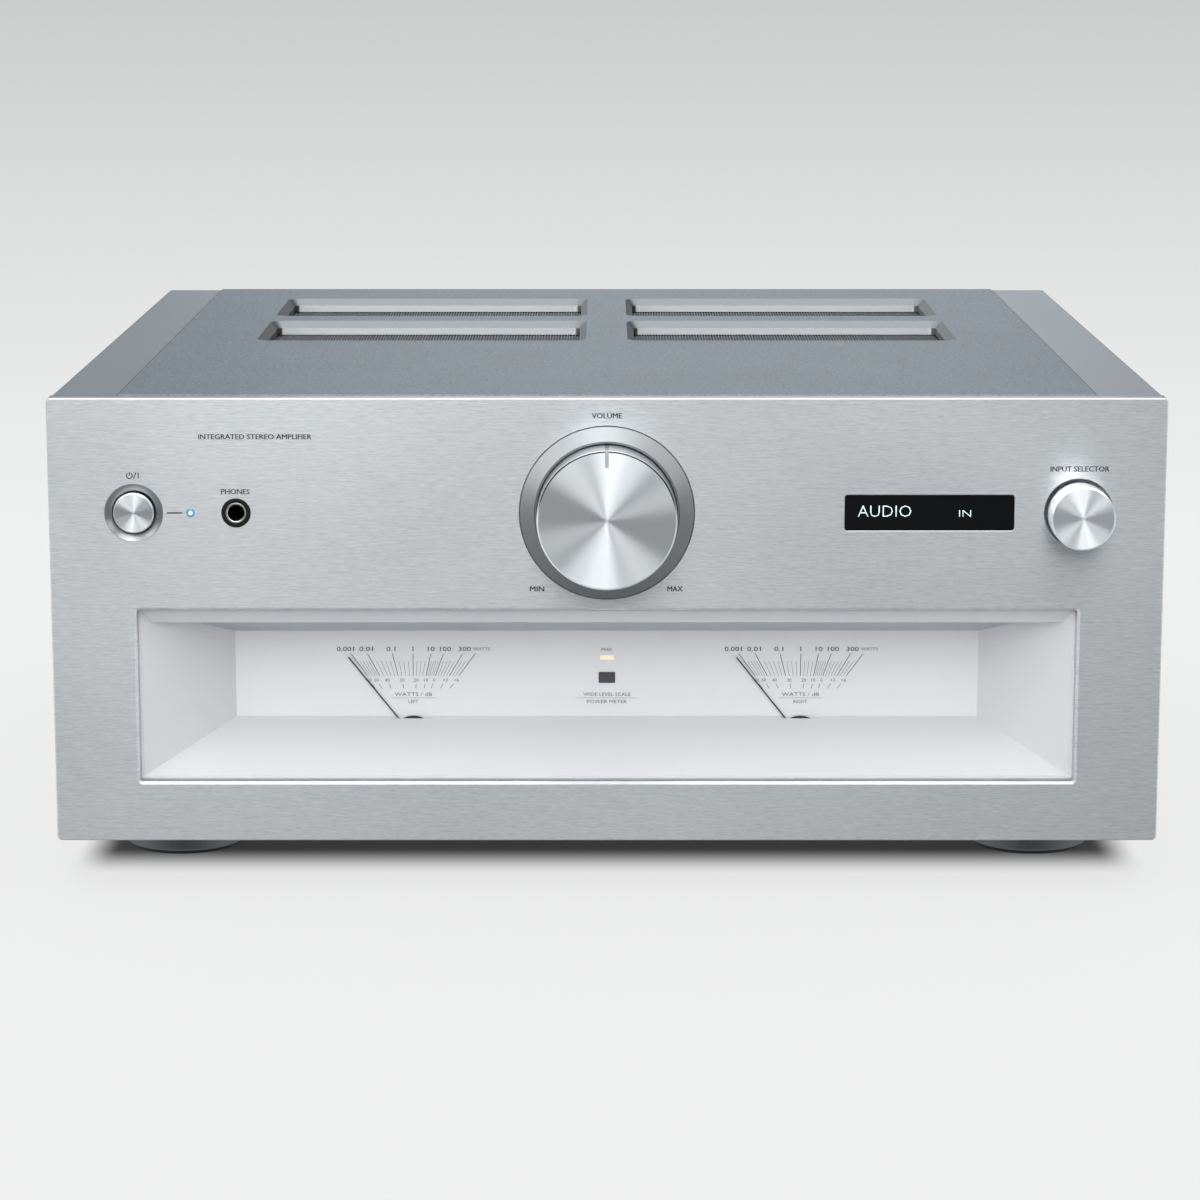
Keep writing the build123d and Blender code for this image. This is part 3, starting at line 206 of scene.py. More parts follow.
def brushed(name, colour, roughness=0.3, anisotropic=0.85, contrast=0.18, dish=None):
    """Metal with hairlines along X, and painted shade on its chamfers and top, which face up. dish is a
    turned dish's (x, z, radius).
    """
    r = Recipe(name, Metallic=1.0, Anisotropic=anisotropic)
    fine = r.noise(r.place(), FINE_HAIR, 2.0, 0.6)
    long = r.noise(r.place(), LONG_HAIR, 2.0, 0.5)
    cloud = r.noise(r.place(), CLOUDS, 2.0, 0.5)
    hair = r.math("ADD", r.math("MULTIPLY", fine, 0.65), r.math("MULTIPLY", long, 0.35))
    shade = r.math("ADD", r.math("MULTIPLY", hair, 0.85), r.math("MULTIPLY", cloud, 0.15))
    finish = spread(r, shade, colour, contrast)
    upward = facing_up(r)
    # Painted shade: chamfers that face up are darker, and faces that look straight up darker still.
    finish = r.mix(r.step(upward, 0.4, 0.6), finish, tone(colour, CHAMFER_PAINTED_SHADE))
    finish = r.mix(r.step(upward, 0.8, 0.95), finish, tone(colour, TOP_FACE_PAINTED_SHADE))
    across = r.node("CombineXYZ", X=0.0, Y=0.0, Z=1.0)
    if dish:
        x, z, reach = dish
        radius, outward = radius_from(r, x, z)
        inside = r.step(radius, reach + 0.1 * MM, reach - 0.1 * MM)
        finish = r.mix(inside, finish, tone(colour, DISH_TONE))
        across = r.mix(inside, across, r.vector("NORMALIZE", outward))
    r.set(r.shader, "Base Color", finish)
    r.set(r.shader, "Roughness", r.between(hair, roughness * 1.25, roughness * 0.8))
    r.set(r.shader, "Tangent", across)
    r.bump(hair, 0.15, HAIR_DEPTH)
    return r


def spun(name, colour, x, z, roughness=0.3, anisotropic=1.0, twist=0.0, pointer=None, rim=None):
    """Metal turned on a lathe about the line through x, z along Y.

    twist turns its gloss by that many degrees. pointer is a groove's (start in Z, half width, Y of its
    floor), and rim is the inner and outer radius of a bevel whose upper half is darkened as painted shade.
    """
    r = Recipe(name, Metallic=1.0, Anisotropic=anisotropic)
    radius, outward = radius_from(r, x, z)
    ring = r.node("CombineXYZ", X=r.math("MULTIPLY", radius, GROOVES_PER_METRE))
    groove = r.node("TexNoise", "Fac", Vector=ring, Scale=1.0, Detail=3.0)
    finish = spread(r, groove, colour, 0.04)
    if pointer:
        start, half_width, floor_y = pointer
        along = r.step(r.axis("Z"), start - 0.1 * MM, start)
        inside = r.math("MULTIPLY", along, r.step(r.axis("Y"), floor_y - 0.2 * MM, floor_y))
        near = band(r, r.axis("X"), x - half_width, x + half_width, 0.05 * MM)
        finish = r.mix(r.math("MULTIPLY", inside, near), finish, tone(colour, POINTER_TONE))
    if rim:
        # Painted shade: the rim bevel's upper half, which faces up, is made nearly black.
        dark = r.math("MULTIPLY", band(r, radius, *rim, 0.04 * MM), r.step(facing_up(r), 0.0, 0.25))
        finish = r.mix(dark, finish, tone(colour, RIM_PAINTED_SHADE))
    r.set(r.shader, "Base Color", finish)
    r.set(r.shader, "Roughness", r.between(groove, roughness * 0.9, roughness * 1.1))
    about = {"rotation_type": "AXIS_ANGLE"}
    turned = r.node("VectorRotate", settings=about, Vector=outward, Axis=(0, 1, 0), Angle=math.radians(twist))
    r.set(r.shader, "Tangent", turned)
    r.bump(groove, 0.2, HAIR_DEPTH)
    return r


def grained(
    name, colour, metallic, roughness, scale=1800.0, contrast=0.05, strength=0.4, mottle=0.25, **values
):
    """Blasted, cast or moulded surface with a fine grain. mottle is the share of its slow variation."""
    r = Recipe(name, Metallic=metallic, **values)
    grain = r.noise(r.place(), (scale,) * 3, 3.0, 0.6)
    cloud = r.noise(r.place(), (MOTTLE_PER_METRE,) * 3, 3.0, 0.5)
    both = r.math("ADD", r.math("MULTIPLY", grain, 1 - mottle), r.math("MULTIPLY", cloud, mottle))
    r.set(r.shader, "Base Color", spread(r, r.step(both, 0.3, 0.7), colour, contrast))
    r.set(r.shader, "Roughness", r.between(both, roughness * 0.9, roughness * 1.1))
    r.bump(grain, strength, GRAIN_DEPTH)
    return r


# ---------------------------------------------------------------- places, from the frame

FRONT_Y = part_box("front_panel")[0].y
REAR_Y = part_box("rear_panel")[1].y
DIAL_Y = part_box("dial_plate")[0].y


def middle_x(node):
    low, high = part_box(node)
    return (low.x + high.x) / 2


knob_low, knob_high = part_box("volume_knob")
KNOB_R = (knob_high.x - knob_low.x) / 2
CONTROL_Z = (knob_low.z + knob_high.z) / 2
VOLUME_X = middle_x("volume_knob")
SELECTOR_X = middle_x("selector_knob")
POWER_X = middle_x("power_button")
LIGHT_X = middle_x("status_light")

# ---------------------------------------------------------------- materials, one for each slot

ALUMINIUM = (0.85, 0.872, 0.89)
BLACK_PLASTIC = (0.015, 0.015, 0.016)
GOLD = (0.85, 0.65, 0.3)

recipes = {}


def add(recipe):
    """Keeps a recipe's material for the CAD slot of the same name."""
    recipes[recipe.material.name] = recipe.material
    return recipe


# slot: (colour, metallic, roughness)
PLAIN = {
    "mesh_metal": ((0.035, 0.038, 0.041), 0.9, 0.4),
    "base_steel": ((0.3, 0.31, 0.32), 0.9, 0.5),
    "foot_metal": ((0.12, 0.127, 0.135), 0.9, 0.4),
    "screw_steel": ((0.2, 0.2, 0.21), 1.0, 0.35),
    "shaft_steel": ((0.6, 0.61, 0.62), 1.0, 0.3),
    "encoder_metal": ((0.5, 0.51, 0.52), 1.0, 0.4),
    "spring_steel": ((0.6, 0.61, 0.62), 1.0, 0.25),
    "switch_plastic": ((0.02, 0.02, 0.022), 0.0, 0.5),
    "jack_ring": ((0.72, 0.7, 0.66), 1.0, 0.15),
    "display_body": ((0.02, 0.02, 0.022), 0.0, 0.5),
    "needle_black": ((0.012, 0.012, 0.014), 0.0, 0.4),
    "movement_body": ((0.05, 0.05, 0.055), 0.0, 0.4),
    "sensor_lens": ((0.05, 0.05, 0.06), 0.0, 0.15),
    "transformer_wrap": ((0.35, 0.22, 0.05), 0.0, 0.45),
    "circuit_board": ((0.02, 0.12, 0.05), 0.0, 0.5),
    "capacitor_sleeve": ((0.02, 0.02, 0.05), 0.0, 0.35),
    "sink_metal": ((0.05, 0.05, 0.055), 0.8, 0.4),
    "inlet_plastic": (BLACK_PLASTIC, 0.0, 0.45),
    "digital_plastic": (BLACK_PLASTIC, 0.0, 0.4),
    "pin_metal": ((0.7, 0.65, 0.5), 1.0, 0.25),
    "socket_metal": (GOLD, 1.0, 0.22),
    "washer_metal": (GOLD, 1.0, 0.22),
    "cap_metal": ((0.6, 0.6, 0.62), 1.0, 0.3),
    "ground_metal": ((0.6, 0.6, 0.62), 1.0, 0.3),
}
for slot, (colour, metallic, roughness) in PLAIN.items():
    add(grained(slot, colour, metallic, roughness))

# Faceplate, case and feet
DISH_R = 11.3 * MM
add(brushed("brushed_faceplate", tone(ALUMINIUM, 0.75), contrast=0.7, dish=(POWER_X, CONTROL_Z, DISH_R)))
add(brushed("subframe_metal", tone(ALUMINIUM, 0.45)))
add(grained("side_metal", (0.185, 0.206, 0.228), 1.0, 0.42, scale=2400.0, contrast=0.03, strength=0.25))
add(grained("rear_metal", (0.3, 0.32, 0.34), 0.9, 0.5, scale=1500.0, contrast=0.1))
add(grained("foot_rubber", BLACK_PLASTIC, 0.0, 0.75, scale=900.0, contrast=0.2))

# The cover is textured. Its vents' bevels, walls and ends get aluminium tones by which way they face, as
# painted light and shade. The vents lie in this area on each side of the middle, and the tones are
# shares of the metal's own colour.
VENT_AREA_X = (4 * MM, 160 * MM)
VENT_AREA_Y = (-22 * MM, 168 * MM)
BEVEL_PAINTED_SHADE, WALL_PAINTED_LIGHT, LEFT_END_PAINTED_SHADE, RIGHT_END_PAINTED_SHADE = 0.19, 0.765, 0.075, 0.24
COVER_GRAIN = {"scale": 800.0, "contrast": 0.4, "strength": 0.8, "mottle": 0.05}

cover = add(grained("cover_metal", (0.115, 0.139, 0.157), 1.0, 0.5, **COVER_GRAIN))
textured = cover.base()
upward = facing_up(cover)
rightward = cover.axis("X", cover.node("TexCoord", "Normal"))
# Painted light and shade by the face's normal: lighter walls, darker bevels, and the ends facing right and
# left darker again.
vent_light_and_shade = cover.mix(cover.step(upward, 0.5, 0.3), tone(ALUMINIUM, BEVEL_PAINTED_SHADE), tone(ALUMINIUM, WALL_PAINTED_LIGHT))
vent_light_and_shade = cover.mix(cover.step(rightward, 0.3, 0.6), vent_light_and_shade, tone(ALUMINIUM, LEFT_END_PAINTED_SHADE))
vent_light_and_shade = cover.mix(cover.step(rightward, -0.3, -0.6), vent_light_and_shade, tone(ALUMINIUM, RIGHT_END_PAINTED_SHADE))
aside = band(cover, cover.math("ABSOLUTE", cover.axis("X")), *VENT_AREA_X, MM)
vents = cover.math("MULTIPLY", aside, band(cover, cover.axis("Y"), *VENT_AREA_Y, MM))
painted_vent_faces = cover.math("MULTIPLY", vents, cover.step(upward, 0.93, 0.8))
cover.set(cover.shader, "Base Color", cover.mix(painted_vent_faces, textured, vent_light_and_shade))

# Controls
POINTER = (CONTROL_Z + 20.2 * MM, 0.72 * MM, knob_low.y + 0.45 * MM)
RIM = (KNOB_R - 0.85 * MM, KNOB_R - 0.3 * MM)
add(spun("bezel_metal", tone(ALUMINIUM, 0.275), VOLUME_X, CONTROL_Z, roughness=0.42, anisotropic=0.2))
add(spun("knob_metal", tone(ALUMINIUM, 0.95), VOLUME_X, CONTROL_Z, twist=-14, pointer=POINTER, rim=RIM))
add(spun("button_metal", tone(ALUMINIUM, 0.88), POWER_X, CONTROL_Z))
# The selector's spun metal is toned lighter than the knob's, above the aluminium's own colour, as painted
# light.
selector_painted_light = spun("selector_painted_light", tone(ALUMINIUM, 1.06), SELECTOR_X, CONTROL_Z, twist=-8).material

LIT_CORE = (0.45 * MM, 0.95 * MM)
light = add(Recipe("status_lens", Roughness=0.2))
lens_radius, _ = radius_from(light, LIGHT_X, CONTROL_Z)
lens = light.mix(light.step(lens_radius, *LIT_CORE), (0.95, 0.98, 1.0), (0.04, 0.2, 0.42))
light.set(light.shader, "Base Color", lens)
light.glow((0.35, 0.7, 1.0), 0.14)
add(grained("jack_plastic", (0.008, 0.008, 0.009), 0.0, 0.45, scale=900.0, Specular_IOR_Level=0.08))
DARK_LENS = {"contrast": 0.1, "strength": 0.02, "Specular_IOR_Level": 0.12}
add(grained("display_lens", (0.003, 0.0035, 0.004), 0.0, 0.08, **DARK_LENS))

# Meter window: a clear pane that reflects more at a slant, in front of a white room
PANE_REFLECTION, PANE_GRAZING = 0.035, 0.9
CEILING_PAINTED_SHADE = (0.37, 0.41, 0.445)

pane = add(Recipe("window_glass", Roughness=0.03, Metallic=1.0, Base_Color=(0.95, 0.97, 1.0)))
slant = pane.math("POWER", pane.node("LayerWeight", "Facing", Blend=0.5), 5.0)
mirror = pane.math("MULTIPLY_ADD", slant, PANE_GRAZING, PANE_REFLECTION)
clear = pane.node("BsdfTransparent", Color=(0.985, 0.985, 0.99))
pane.set(pane.output, "Surface", pane.node("MixShader", _0=mirror, _1=clear, _2=pane.shader.outputs[0]))

room = add(grained("meter_white", (0.605, 0.6, 0.6), 0.0, 0.55, scale=2500.0, contrast=0.01, strength=0.1))
# Painted shade: faces of the room that face down are darker and bluer.
room.set(room.shader, "Base Color", room.mix(room.step(facing_up(room), -0.5, -0.8), room.base(), CEILING_PAINTED_SHADE))
add(grained("dial_white", (0.69, 0.686, 0.686), 0.0, 0.6, scale=3000.0, contrast=0.01, strength=0.05))
add(grained("lamp_strip", (0.9, 0.9, 0.9), 0.0, 0.4)).glow((1, 1, 1), 0.6)
add(grained("amber_lens", (0.92, 0.86, 0.6), 0.0, 0.3)).glow((1.0, 0.9, 0.6), 0.15)

# Rear sockets: the lower row is red. Terminal posts: gold, with black and red plastic flanges.
SOCKET_ROWS_SPLIT = (133 * MM, 131 * MM)
FLANGE_Y = REAR_Y + 3 * MM
RED_POSTS = ((-110 * MM, -80 * MM), (-20 * MM, 8 * MM))

core = add(grained("socket_core", (0.8, 0.8, 0.8), 0.0, 0.4))
lower_row = core.step(core.axis("Z"), *SOCKET_ROWS_SPLIT)
core.set(core.shader, "Base Color", core.mix(lower_row, core.base(), (0.5, 0.02, 0.02)))

posts = add(grained("post_metal", GOLD, 1.0, 0.22))
flange = posts.step(posts.axis("Y"), FLANGE_Y + 0.1 * MM, FLANGE_Y - 0.1 * MM)
red = posts.math("ADD", *(band(posts, posts.axis("X"), *reach, MM) for reach in RED_POSTS))
plastic = posts.mix(red, BLACK_PLASTIC, (0.45, 0.02, 0.02))
posts.set(posts.shader, "Base Color", posts.mix(flange, posts.base(), plastic))
posts.set(posts.shader, "Metallic", posts.between(flange, 1.0, 0.0))

for node in nodes.values():
    for slot in node.material_slots:
        slot.material = recipes[slot.material.name.removesuffix("_plain")]
nodes["selector_knob"].material_slots[0].material = selector_painted_light

# ---------------------------------------------------------------- meshes under the vents

WIRE_PITCH = 1.25 * MM
WIRE_R = 0.25 * MM
WIRE_SIDES = 6
WIRES_OVERLAP = 0.06 * MM
VENT_X = (7.5 * MM, 153.5 * MM)
VENT_ROWS = ((-15.5 * MM, 65.5 * MM), (82.5 * MM, 161.5 * MM))


def mesh_of(name, bm):
    """Turns bm into a mesh and frees it."""
    made = bpy.data.meshes.new(name)
    bm.to_mesh(made)
    bm.free()
    return made


def mesh_object(name, mesh_data, material, body):
    made = bpy.data.objects.new(name, mesh_data)
    scene.collection.objects.link(made)
    made.data.materials.append(material)
    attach(made, body)
    return made


def wire(bm, start, end):
    """A straight wire from start to end."""
    start, end = Vector(start), Vector(end)
    along = (end - start).normalized()
    side = Vector((0, 1, 0)) if abs(along.y) < 0.9 else Vector((1, 0, 0))
    up = along.cross(side).normalized()
    turns = [2 * math.pi * (i + 0.5) / WIRE_SIDES for i in range(WIRE_SIDES)]
    offsets = [side * (WIRE_R * math.cos(turn)) + up * (WIRE_R * math.sin(turn)) for turn in turns]
    near, far = ([bm.verts.new(point + offset) for offset in offsets] for point in (start, end))
    for i in range(WIRE_SIDES):
        j = (i + 1) % WIRE_SIDES
        bm.faces.new((near[i], near[j], far[j], far[i]))
    bm.faces.new(list(reversed(near)))
    bm.faces.new(far)


def wire_mesh():
    bm = bmesh.new()
    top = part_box("vent_meshes")[1].z - WIRE_R
    under = top - 2 * WIRE_R + WIRES_OVERLAP
    for side in (-1, 1):
        for y0, y1 in VENT_ROWS:
            x0, x1 = sorted((side * VENT_X[0], side * VENT_X[1]))
            for i in range(int((y1 - y0) / WIRE_PITCH)):
                y = y0 + (i + 0.5) * WIRE_PITCH
                wire(bm, (x0, y, under), (x1, y, under))
            for i in range(int((x1 - x0) / WIRE_PITCH)):
                x = x0 + (i + 0.5) * WIRE_PITCH
                wire(bm, (x, y0, top), (x, y1, top))
    bmesh.ops.recalc_face_normals(bm, faces=bm.faces)
    return mesh_of("wire_meshes", bm)


wires = mesh_object("wire_meshes", wire_mesh(), recipes["mesh_metal"], "cabinet")
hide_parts("vent_meshes")

# ---------------------------------------------------------------- power button's spring

spring_node = nodes["power_spring"]
coil = bpy.data.objects.new("power_spring_coil", spring_node.data.copy())
scene.collection.objects.link(coil)
coil.matrix_world = spring_node.matrix_world
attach(coil, "cabinet")
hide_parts("power_spring")
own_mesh(coil)

# ---------------------------------------------------------------- liner in the volume bezel's bore

LINER_INNER_R = 27.2 * MM
LINER_OUTER_R = 27.72 * MM
LINER_FRONT = 0.42 * MM
LINER_BACK = 7.6 * MM
LINER_BEVEL = 0.15 * MM
LINER_SIDES = 128


def liner_mesh():
    bezel_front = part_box("volume_bezel")[0].y
    front, back = bezel_front + LINER_FRONT, bezel_front + LINER_BACK
    profile = (
        (LINER_INNER_R + LINER_BEVEL, front),
        (LINER_OUTER_R, front),
        (LINER_OUTER_R, back),
        (LINER_INNER_R, back),
        (LINER_INNER_R, front + LINER_BEVEL),
    )
    bm = bmesh.new()
    rings = []
    for i in range(LINER_SIDES):
        turn = 2 * math.pi * i / LINER_SIDES
        points = ((VOLUME_X + r * math.cos(turn), y, CONTROL_Z + r * math.sin(turn)) for r, y in profile)
        rings.append([bm.verts.new(point) for point in points])
    for here, ahead in zip(rings, rings[1:] + rings[:1]):
        for j in range(len(profile)):
            k = (j + 1) % len(profile)
            bm.faces.new((here[j], here[k], ahead[k], ahead[j]))
    bmesh.ops.recalc_face_normals(bm, faces=bm.faces)
    return mesh_of("bezel_liner", bm)


liner = mesh_object("bezel_liner", liner_mesh(), recipes["bezel_metal"], "cabinet")

# ---------------------------------------------------------------- print

PRINT_HALF = 0.025 * MM


def letter_mesh(text, weight=0.0):
    """Text as a mesh in the XY plane. weight makes its strokes heavier or lighter."""
    curve = bpy.data.curves.new("letters", "FONT")
    curve.body = text
    curve.resolution_u = 2
    curve.offset = weight
    holder = bpy.data.objects.new("letters", curve)
    scene.collection.objects.link(holder)
    bpy.context.view_layer.update()
    made = bpy.data.meshes.new_from_object(holder)
    bpy.data.objects.remove(holder)
    bpy.data.curves.remove(curve)
    return made


def span(mesh_data, axis):
    """The mesh's lowest and highest coordinate on an axis."""
    values = [v.co[axis] for v in mesh_data.vertices]
    return min(values), max(values)


CAP_LOW, CAP_HIGH = span(letter_mesh("H"), 1)
CAP_HEIGHT = CAP_HIGH - CAP_LOW


def write(bm, text, x, z, y, cap, width=None, align=0.5, facing=1, weight=0.0):
    """Adds text to bm, standing upright at y. x is at the share align of its width, z at its cap's middle."""
    data = letter_mesh(text, weight)
    left, right = span(data, 0)
    tall = cap / CAP_HEIGHT
    wide = width / (right - left) if width else tall
    data.transform(
        Matrix.Translation((x, y, z))
        @ Matrix.Diagonal((wide * facing, 1, tall, 1))
        @ Matrix(((1, 0, 0, 0), (0, 0, -facing, 0), (0, 1, 0, 0), (0, 0, 0, 1)))
        @ Matrix.Translation((-(left + (right - left) * align), -(CAP_LOW + CAP_HEIGHT / 2), 0))
    )
    bm.from_mesh(data)
    bpy.data.meshes.remove(data)


def write_rows(bm, y, rows, weight=0.0, facing=1, bold=0.0):
    """Writes rows of (text, x, z, cap height, width or None, share of width at x), in millimetres.

    bold prints each row twice, that far apart.
    """
    for text, x, z, cap, *rest in rows:
        width = rest[0] * MM if rest else None
        align = rest[1] if len(rest) > 1 else 0.5
        for shift in (-bold / 2, bold / 2) if bold else (0.0,):
            write(bm, text, (x + shift) * MM, z * MM, y, cap * MM, width, align, facing, weight)


def stroke(bm, a, b, y, width):
    """A flat line from a to b, both (x, z)."""
    a, b = Vector((a[0], y, a[1])), Vector((b[0], y, b[1]))
    along = (b - a).normalized()
    side = Vector((-along.z, 0, along.x)) * (width / 2)
    bm.faces.new([bm.verts.new(p) for p in (a + side, a - side, b - side, b + side)])


def arc(bm, x, z, y, radius, width, start, end, steps=24):
    """A flat arc round x, z, from start to end in degrees."""
    inner, outer = radius - width / 2, radius + width / 2
    for i in range(steps):
        a0, a1 = (math.radians(start + (end - start) * t / steps) for t in (i, i + 1))
        corners = ((inner, a0), (outer, a0), (outer, a1), (inner, a1))
        bm.faces.new([bm.verts.new((x + r * math.cos(t), y, z + r * math.sin(t))) for r, t in corners])
    bmesh.ops.remove_doubles(bm, verts=bm.verts, dist=0.1 * MICRON)


def printed(name, fill, recipe, facing=1):
    """A piece of print: fill draws it flat on a surface, and it gets a little thickness."""
    bm = bmesh.new()
    fill(bm)
    made = bmesh.ops.extrude_face_region(bm, geom=list(bm.faces))
    moved = [g for g in made["geom"] if isinstance(g, bmesh.types.BMVert)]
    bmesh.ops.translate(bm, verts=moved, vec=(0, -2 * PRINT_HALF * facing, 0))
    bmesh.ops.recalc_face_normals(bm, faces=bm.faces)
    mesh_object(name, mesh_of(name, bm), recipe.material, "cabinet")


panel_ink = grained("panel_ink", (0.006, 0.007, 0.008), 0.0, 0.6, scale=4000.0, Specular_IOR_Level=0.2)
dial_ink = grained("dial_ink", (0.015, 0.016, 0.018), 0.0, 0.6, scale=4000.0, Specular_IOR_Level=0.2)
faint_ink = grained("faint_ink", (0.08, 0.084, 0.09), 0.0, 0.6, scale=4000.0, Specular_IOR_Level=0.2)
rear_ink = grained("rear_ink", (0.7, 0.7, 0.7), 0.0, 0.6, scale=4000.0)
display_glow = Recipe("display_glow", Base_Color=(0.4, 0.5, 0.52), Roughness=0.6)
display_glow.glow((0.72, 0.92, 0.96), 0.55)

# Faceplate. Rows are as write_rows takes them, and heights are from the controls' line.
CONTROL = CONTROL_Z / MM
PANEL_ROWS = (
    ("VOLUME", 0.0, CONTROL + 37.7, 2.0, 11.5),
    ("MIN", -27.0, CONTROL - 29.7, 2.0, 5.5),
    ("MAX", 26.3, CONTROL - 29.7, 2.0, 5.9),
    ("PHONES", -142.9, CONTROL + 8.3, 2.0, 10.9),
    ("INPUT SELECTOR", 181.7, CONTROL + 17.1, 2.0, 22.6),
    ("INTEGRATED STEREO AMPLIFIER", -156.7, CONTROL + 29.6, 1.9, 43.4, 0.0),
)
PANEL_BOLD = 0.13
LINE_TO_LIGHT = (-169.4 * MM, -163.5 * MM)
ON_OFF_AT = (POWER_X - 1.3 * MM, CONTROL_Z + 14.5 * MM)


def panel_print(bm):
    y = FRONT_Y
    write_rows(bm, y, PANEL_ROWS, bold=PANEL_BOLD)
    start, end = LINE_TO_LIGHT
    stroke(bm, (start, CONTROL_Z), (end, CONTROL_Z), y, 0.5 * MM)
    # The standby sign, a slash and a bar
    x, z = ON_OFF_AT
    arc(bm, x, z, y, 1.1 * MM, 0.42 * MM, 125, 415)
    stroke(bm, (x, z), (x, z + 1.4 * MM), y, 0.4 * MM)
    stroke(bm, (x + 1.6 * MM, z - 1.2 * MM), (x + 2.5 * MM, z + 1.3 * MM), y, 0.4 * MM)
    stroke(bm, (x + 3.4 * MM, z - 1.1 * MM), (x + 3.4 * MM, z + 1.2 * MM), y, 0.42 * MM)


printed("panel_print", panel_print, panel_ink)

# Dials. Angles are from upright, about each needle's pivot, and the rest is in millimetres from it or,
# for heights, from the floor.
METER_X = 77.5 * MM
PIVOT_Z = 51.7 * MM
MAJORS = (-36.4, -28.4, -13.8, 0.0, 11.9, 19.8, 30.5, 36.5)
MINORS_BETWEEN = (5, 5, 4, 4, 5, 5, 3)
# (text, x, width)
NUMBERS = (
    ("0.001", -27.0, 6.9),
    ("0.01", -18.7, 5.5),
    ("0.1", -8.8, 3.6),
    ("1", 0.0, 0.35),
    ("10", 7.3, 2.8),
    ("100", 13.0, 4.5),
    ("300", 20.7, 4.9),
)
NUMBER_WEIGHT = 0.004
# (text, x)
LEVELS = (
    ("-60", -17.9),
    ("50", -14.7),
    ("40", -10.4),
    ("30", -4.5),
    ("20", 1.2),
    ("10", 5.1),
    ("0", 8.4),
    ("+3", 12.8),
    ("+6", 17.2),
)
NUMBER_Z, MAJOR_TOP, MINOR_TOP, LINE_LOW = 87.3, 85.4, 82.3, 76.3
LEVEL_Z, TICK_TOP, TICK_LOW = 74.6, 73.1, 71.2
CAPTION_Z, RULE_Z, CHANNEL_Z = 68.8, 67.3, 65.8
MAJOR_WIDTH, MINOR_WIDTH, TICK_WIDTH, RULE_WIDTH = 0.26 * MM, 0.15 * MM, 0.22 * MM, 0.12 * MM
DIAL_RULE_HALF, CENTRE_RULE_HALF = 9 * MM, 12.6 * MM


def ray(bm, x, angle, low, high, width):
    """A line on the ray from the pivot at angle from upright, between the heights low and high."""
    slope = math.tan(math.radians(angle))
    ends = [(x + (z * MM - PIVOT_Z) * slope, z * MM) for z in (low, high)]
    stroke(bm, *ends, DIAL_Y, width)


def rule(bm, x, half):
    stroke(bm, (x - half, RULE_Z * MM), (x + half, RULE_Z * MM), DIAL_Y, RULE_WIDTH)


def dial_scale(bm, x):
    centre = x / MM
    rows = [(text, centre + dx, NUMBER_Z, 1.8, wide) for text, dx, wide in NUMBERS]
    write_rows(bm, DIAL_Y, rows, NUMBER_WEIGHT)
    for angle in MAJORS:
        ray(bm, x, angle, LINE_LOW, MAJOR_TOP, MAJOR_WIDTH)


def dial_minor(bm, x):
    for low, high, count in zip(MAJORS, MAJORS[1:], MINORS_BETWEEN):
        for i in range(1, count):
            ray(bm, x, low + (high - low) * i / count, LINE_LOW, MINOR_TOP, MINOR_WIDTH)
    for _, dx in LEVELS:
        angle = math.degrees(math.atan2(dx * MM, LEVEL_Z * MM - PIVOT_Z))
        ray(bm, x, angle, TICK_LOW, TICK_TOP, TICK_WIDTH)
    rule(bm, x, DIAL_RULE_HALF)
    centre = x / MM
    rows = [(text, centre + dx, LEVEL_Z, 1.35) for text, dx in LEVELS]
    rows += [
        ("WATTS", centre + 27.4, NUMBER_Z, 1.25, 6.8),
        ("WATTS / dB", centre, CAPTION_Z, 1.45, 15),
        ("LEFT" if x < 0 else "RIGHT", centre, CHANNEL_Z, 1.35),
    ]
    write_rows(bm, DIAL_Y, rows)


def dial_centre(bm):
    rows = (
        ("PEAK", 0, NUMBER_Z - 0.2, 1.3),
        ("WIDE LEVEL SCALE", 0, CAPTION_Z, 1.4, 19),
        ("POWER METER", 0, CHANNEL_Z, 1.35, 16),
    )
    write_rows(bm, DIAL_Y, rows)
    rule(bm, 0, CENTRE_RULE_HALF)


for side, x in (("left", -METER_X), ("right", METER_X)):
    printed(f"dial_scale_{side}", lambda bm: dial_scale(bm, x), dial_ink)
    printed(f"dial_minor_{side}", lambda bm: dial_minor(bm, x), faint_ink)
printed("dial_centre_print", dial_centre, faint_ink)

# Rear: (text, x, z, cap height)
REAR_ROWS = (
    ("AUX", 70, 153.5, 2.2),
    ("LINE 1", 95, 153.5, 2.2),
    ("LINE 2", 120, 153.5, 2.2),
    ("TAPE", 145, 153.5, 2.2),
    ("PHONO", 170, 153.5, 2.2),
    ("PRE OUT", 12, 153.5, 2.2),
    ("L", 182, 144, 2.4),
    ("R", 182, 120, 2.4),
    ("USB", -22, 141.5, 2.2),
    ("OPTICAL 1", -48, 141.5, 2.0),
    ("OPTICAL 2", -69, 141.5, 2.0),
    ("SPEAKERS R", -79, 79.5, 2.6),
    ("SPEAKERS L", 11, 79.5, 2.6),
    ("GND", 188, 103, 2.2),
    ("AC IN", -170, 75.5, 2.6),
    ("+", -96, 50.5, 3.0),
    ("-", -62, 50.5, 3.0),
    ("+", -6, 50.5, 3.0),
    ("-", 28, 50.5, 3.0),
)
printed("rear_print", lambda bm: write_rows(bm, REAR_Y, REAR_ROWS, facing=-1), rear_ink, facing=-1)

# Display
DISPLAY_ROWS = (("AUDIO", 96.6, CONTROL + 0.6, 4.5, 20.6, 0.0), ("IN", 137.9, CONTROL - 0.3, 2.7, 4.6))
DISPLAY_WEIGHT = -0.016


def display_text(bm):
    write_rows(bm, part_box("display_window")[0].y, DISPLAY_ROWS, DISPLAY_WEIGHT)


printed("display_text", display_text, display_glow)

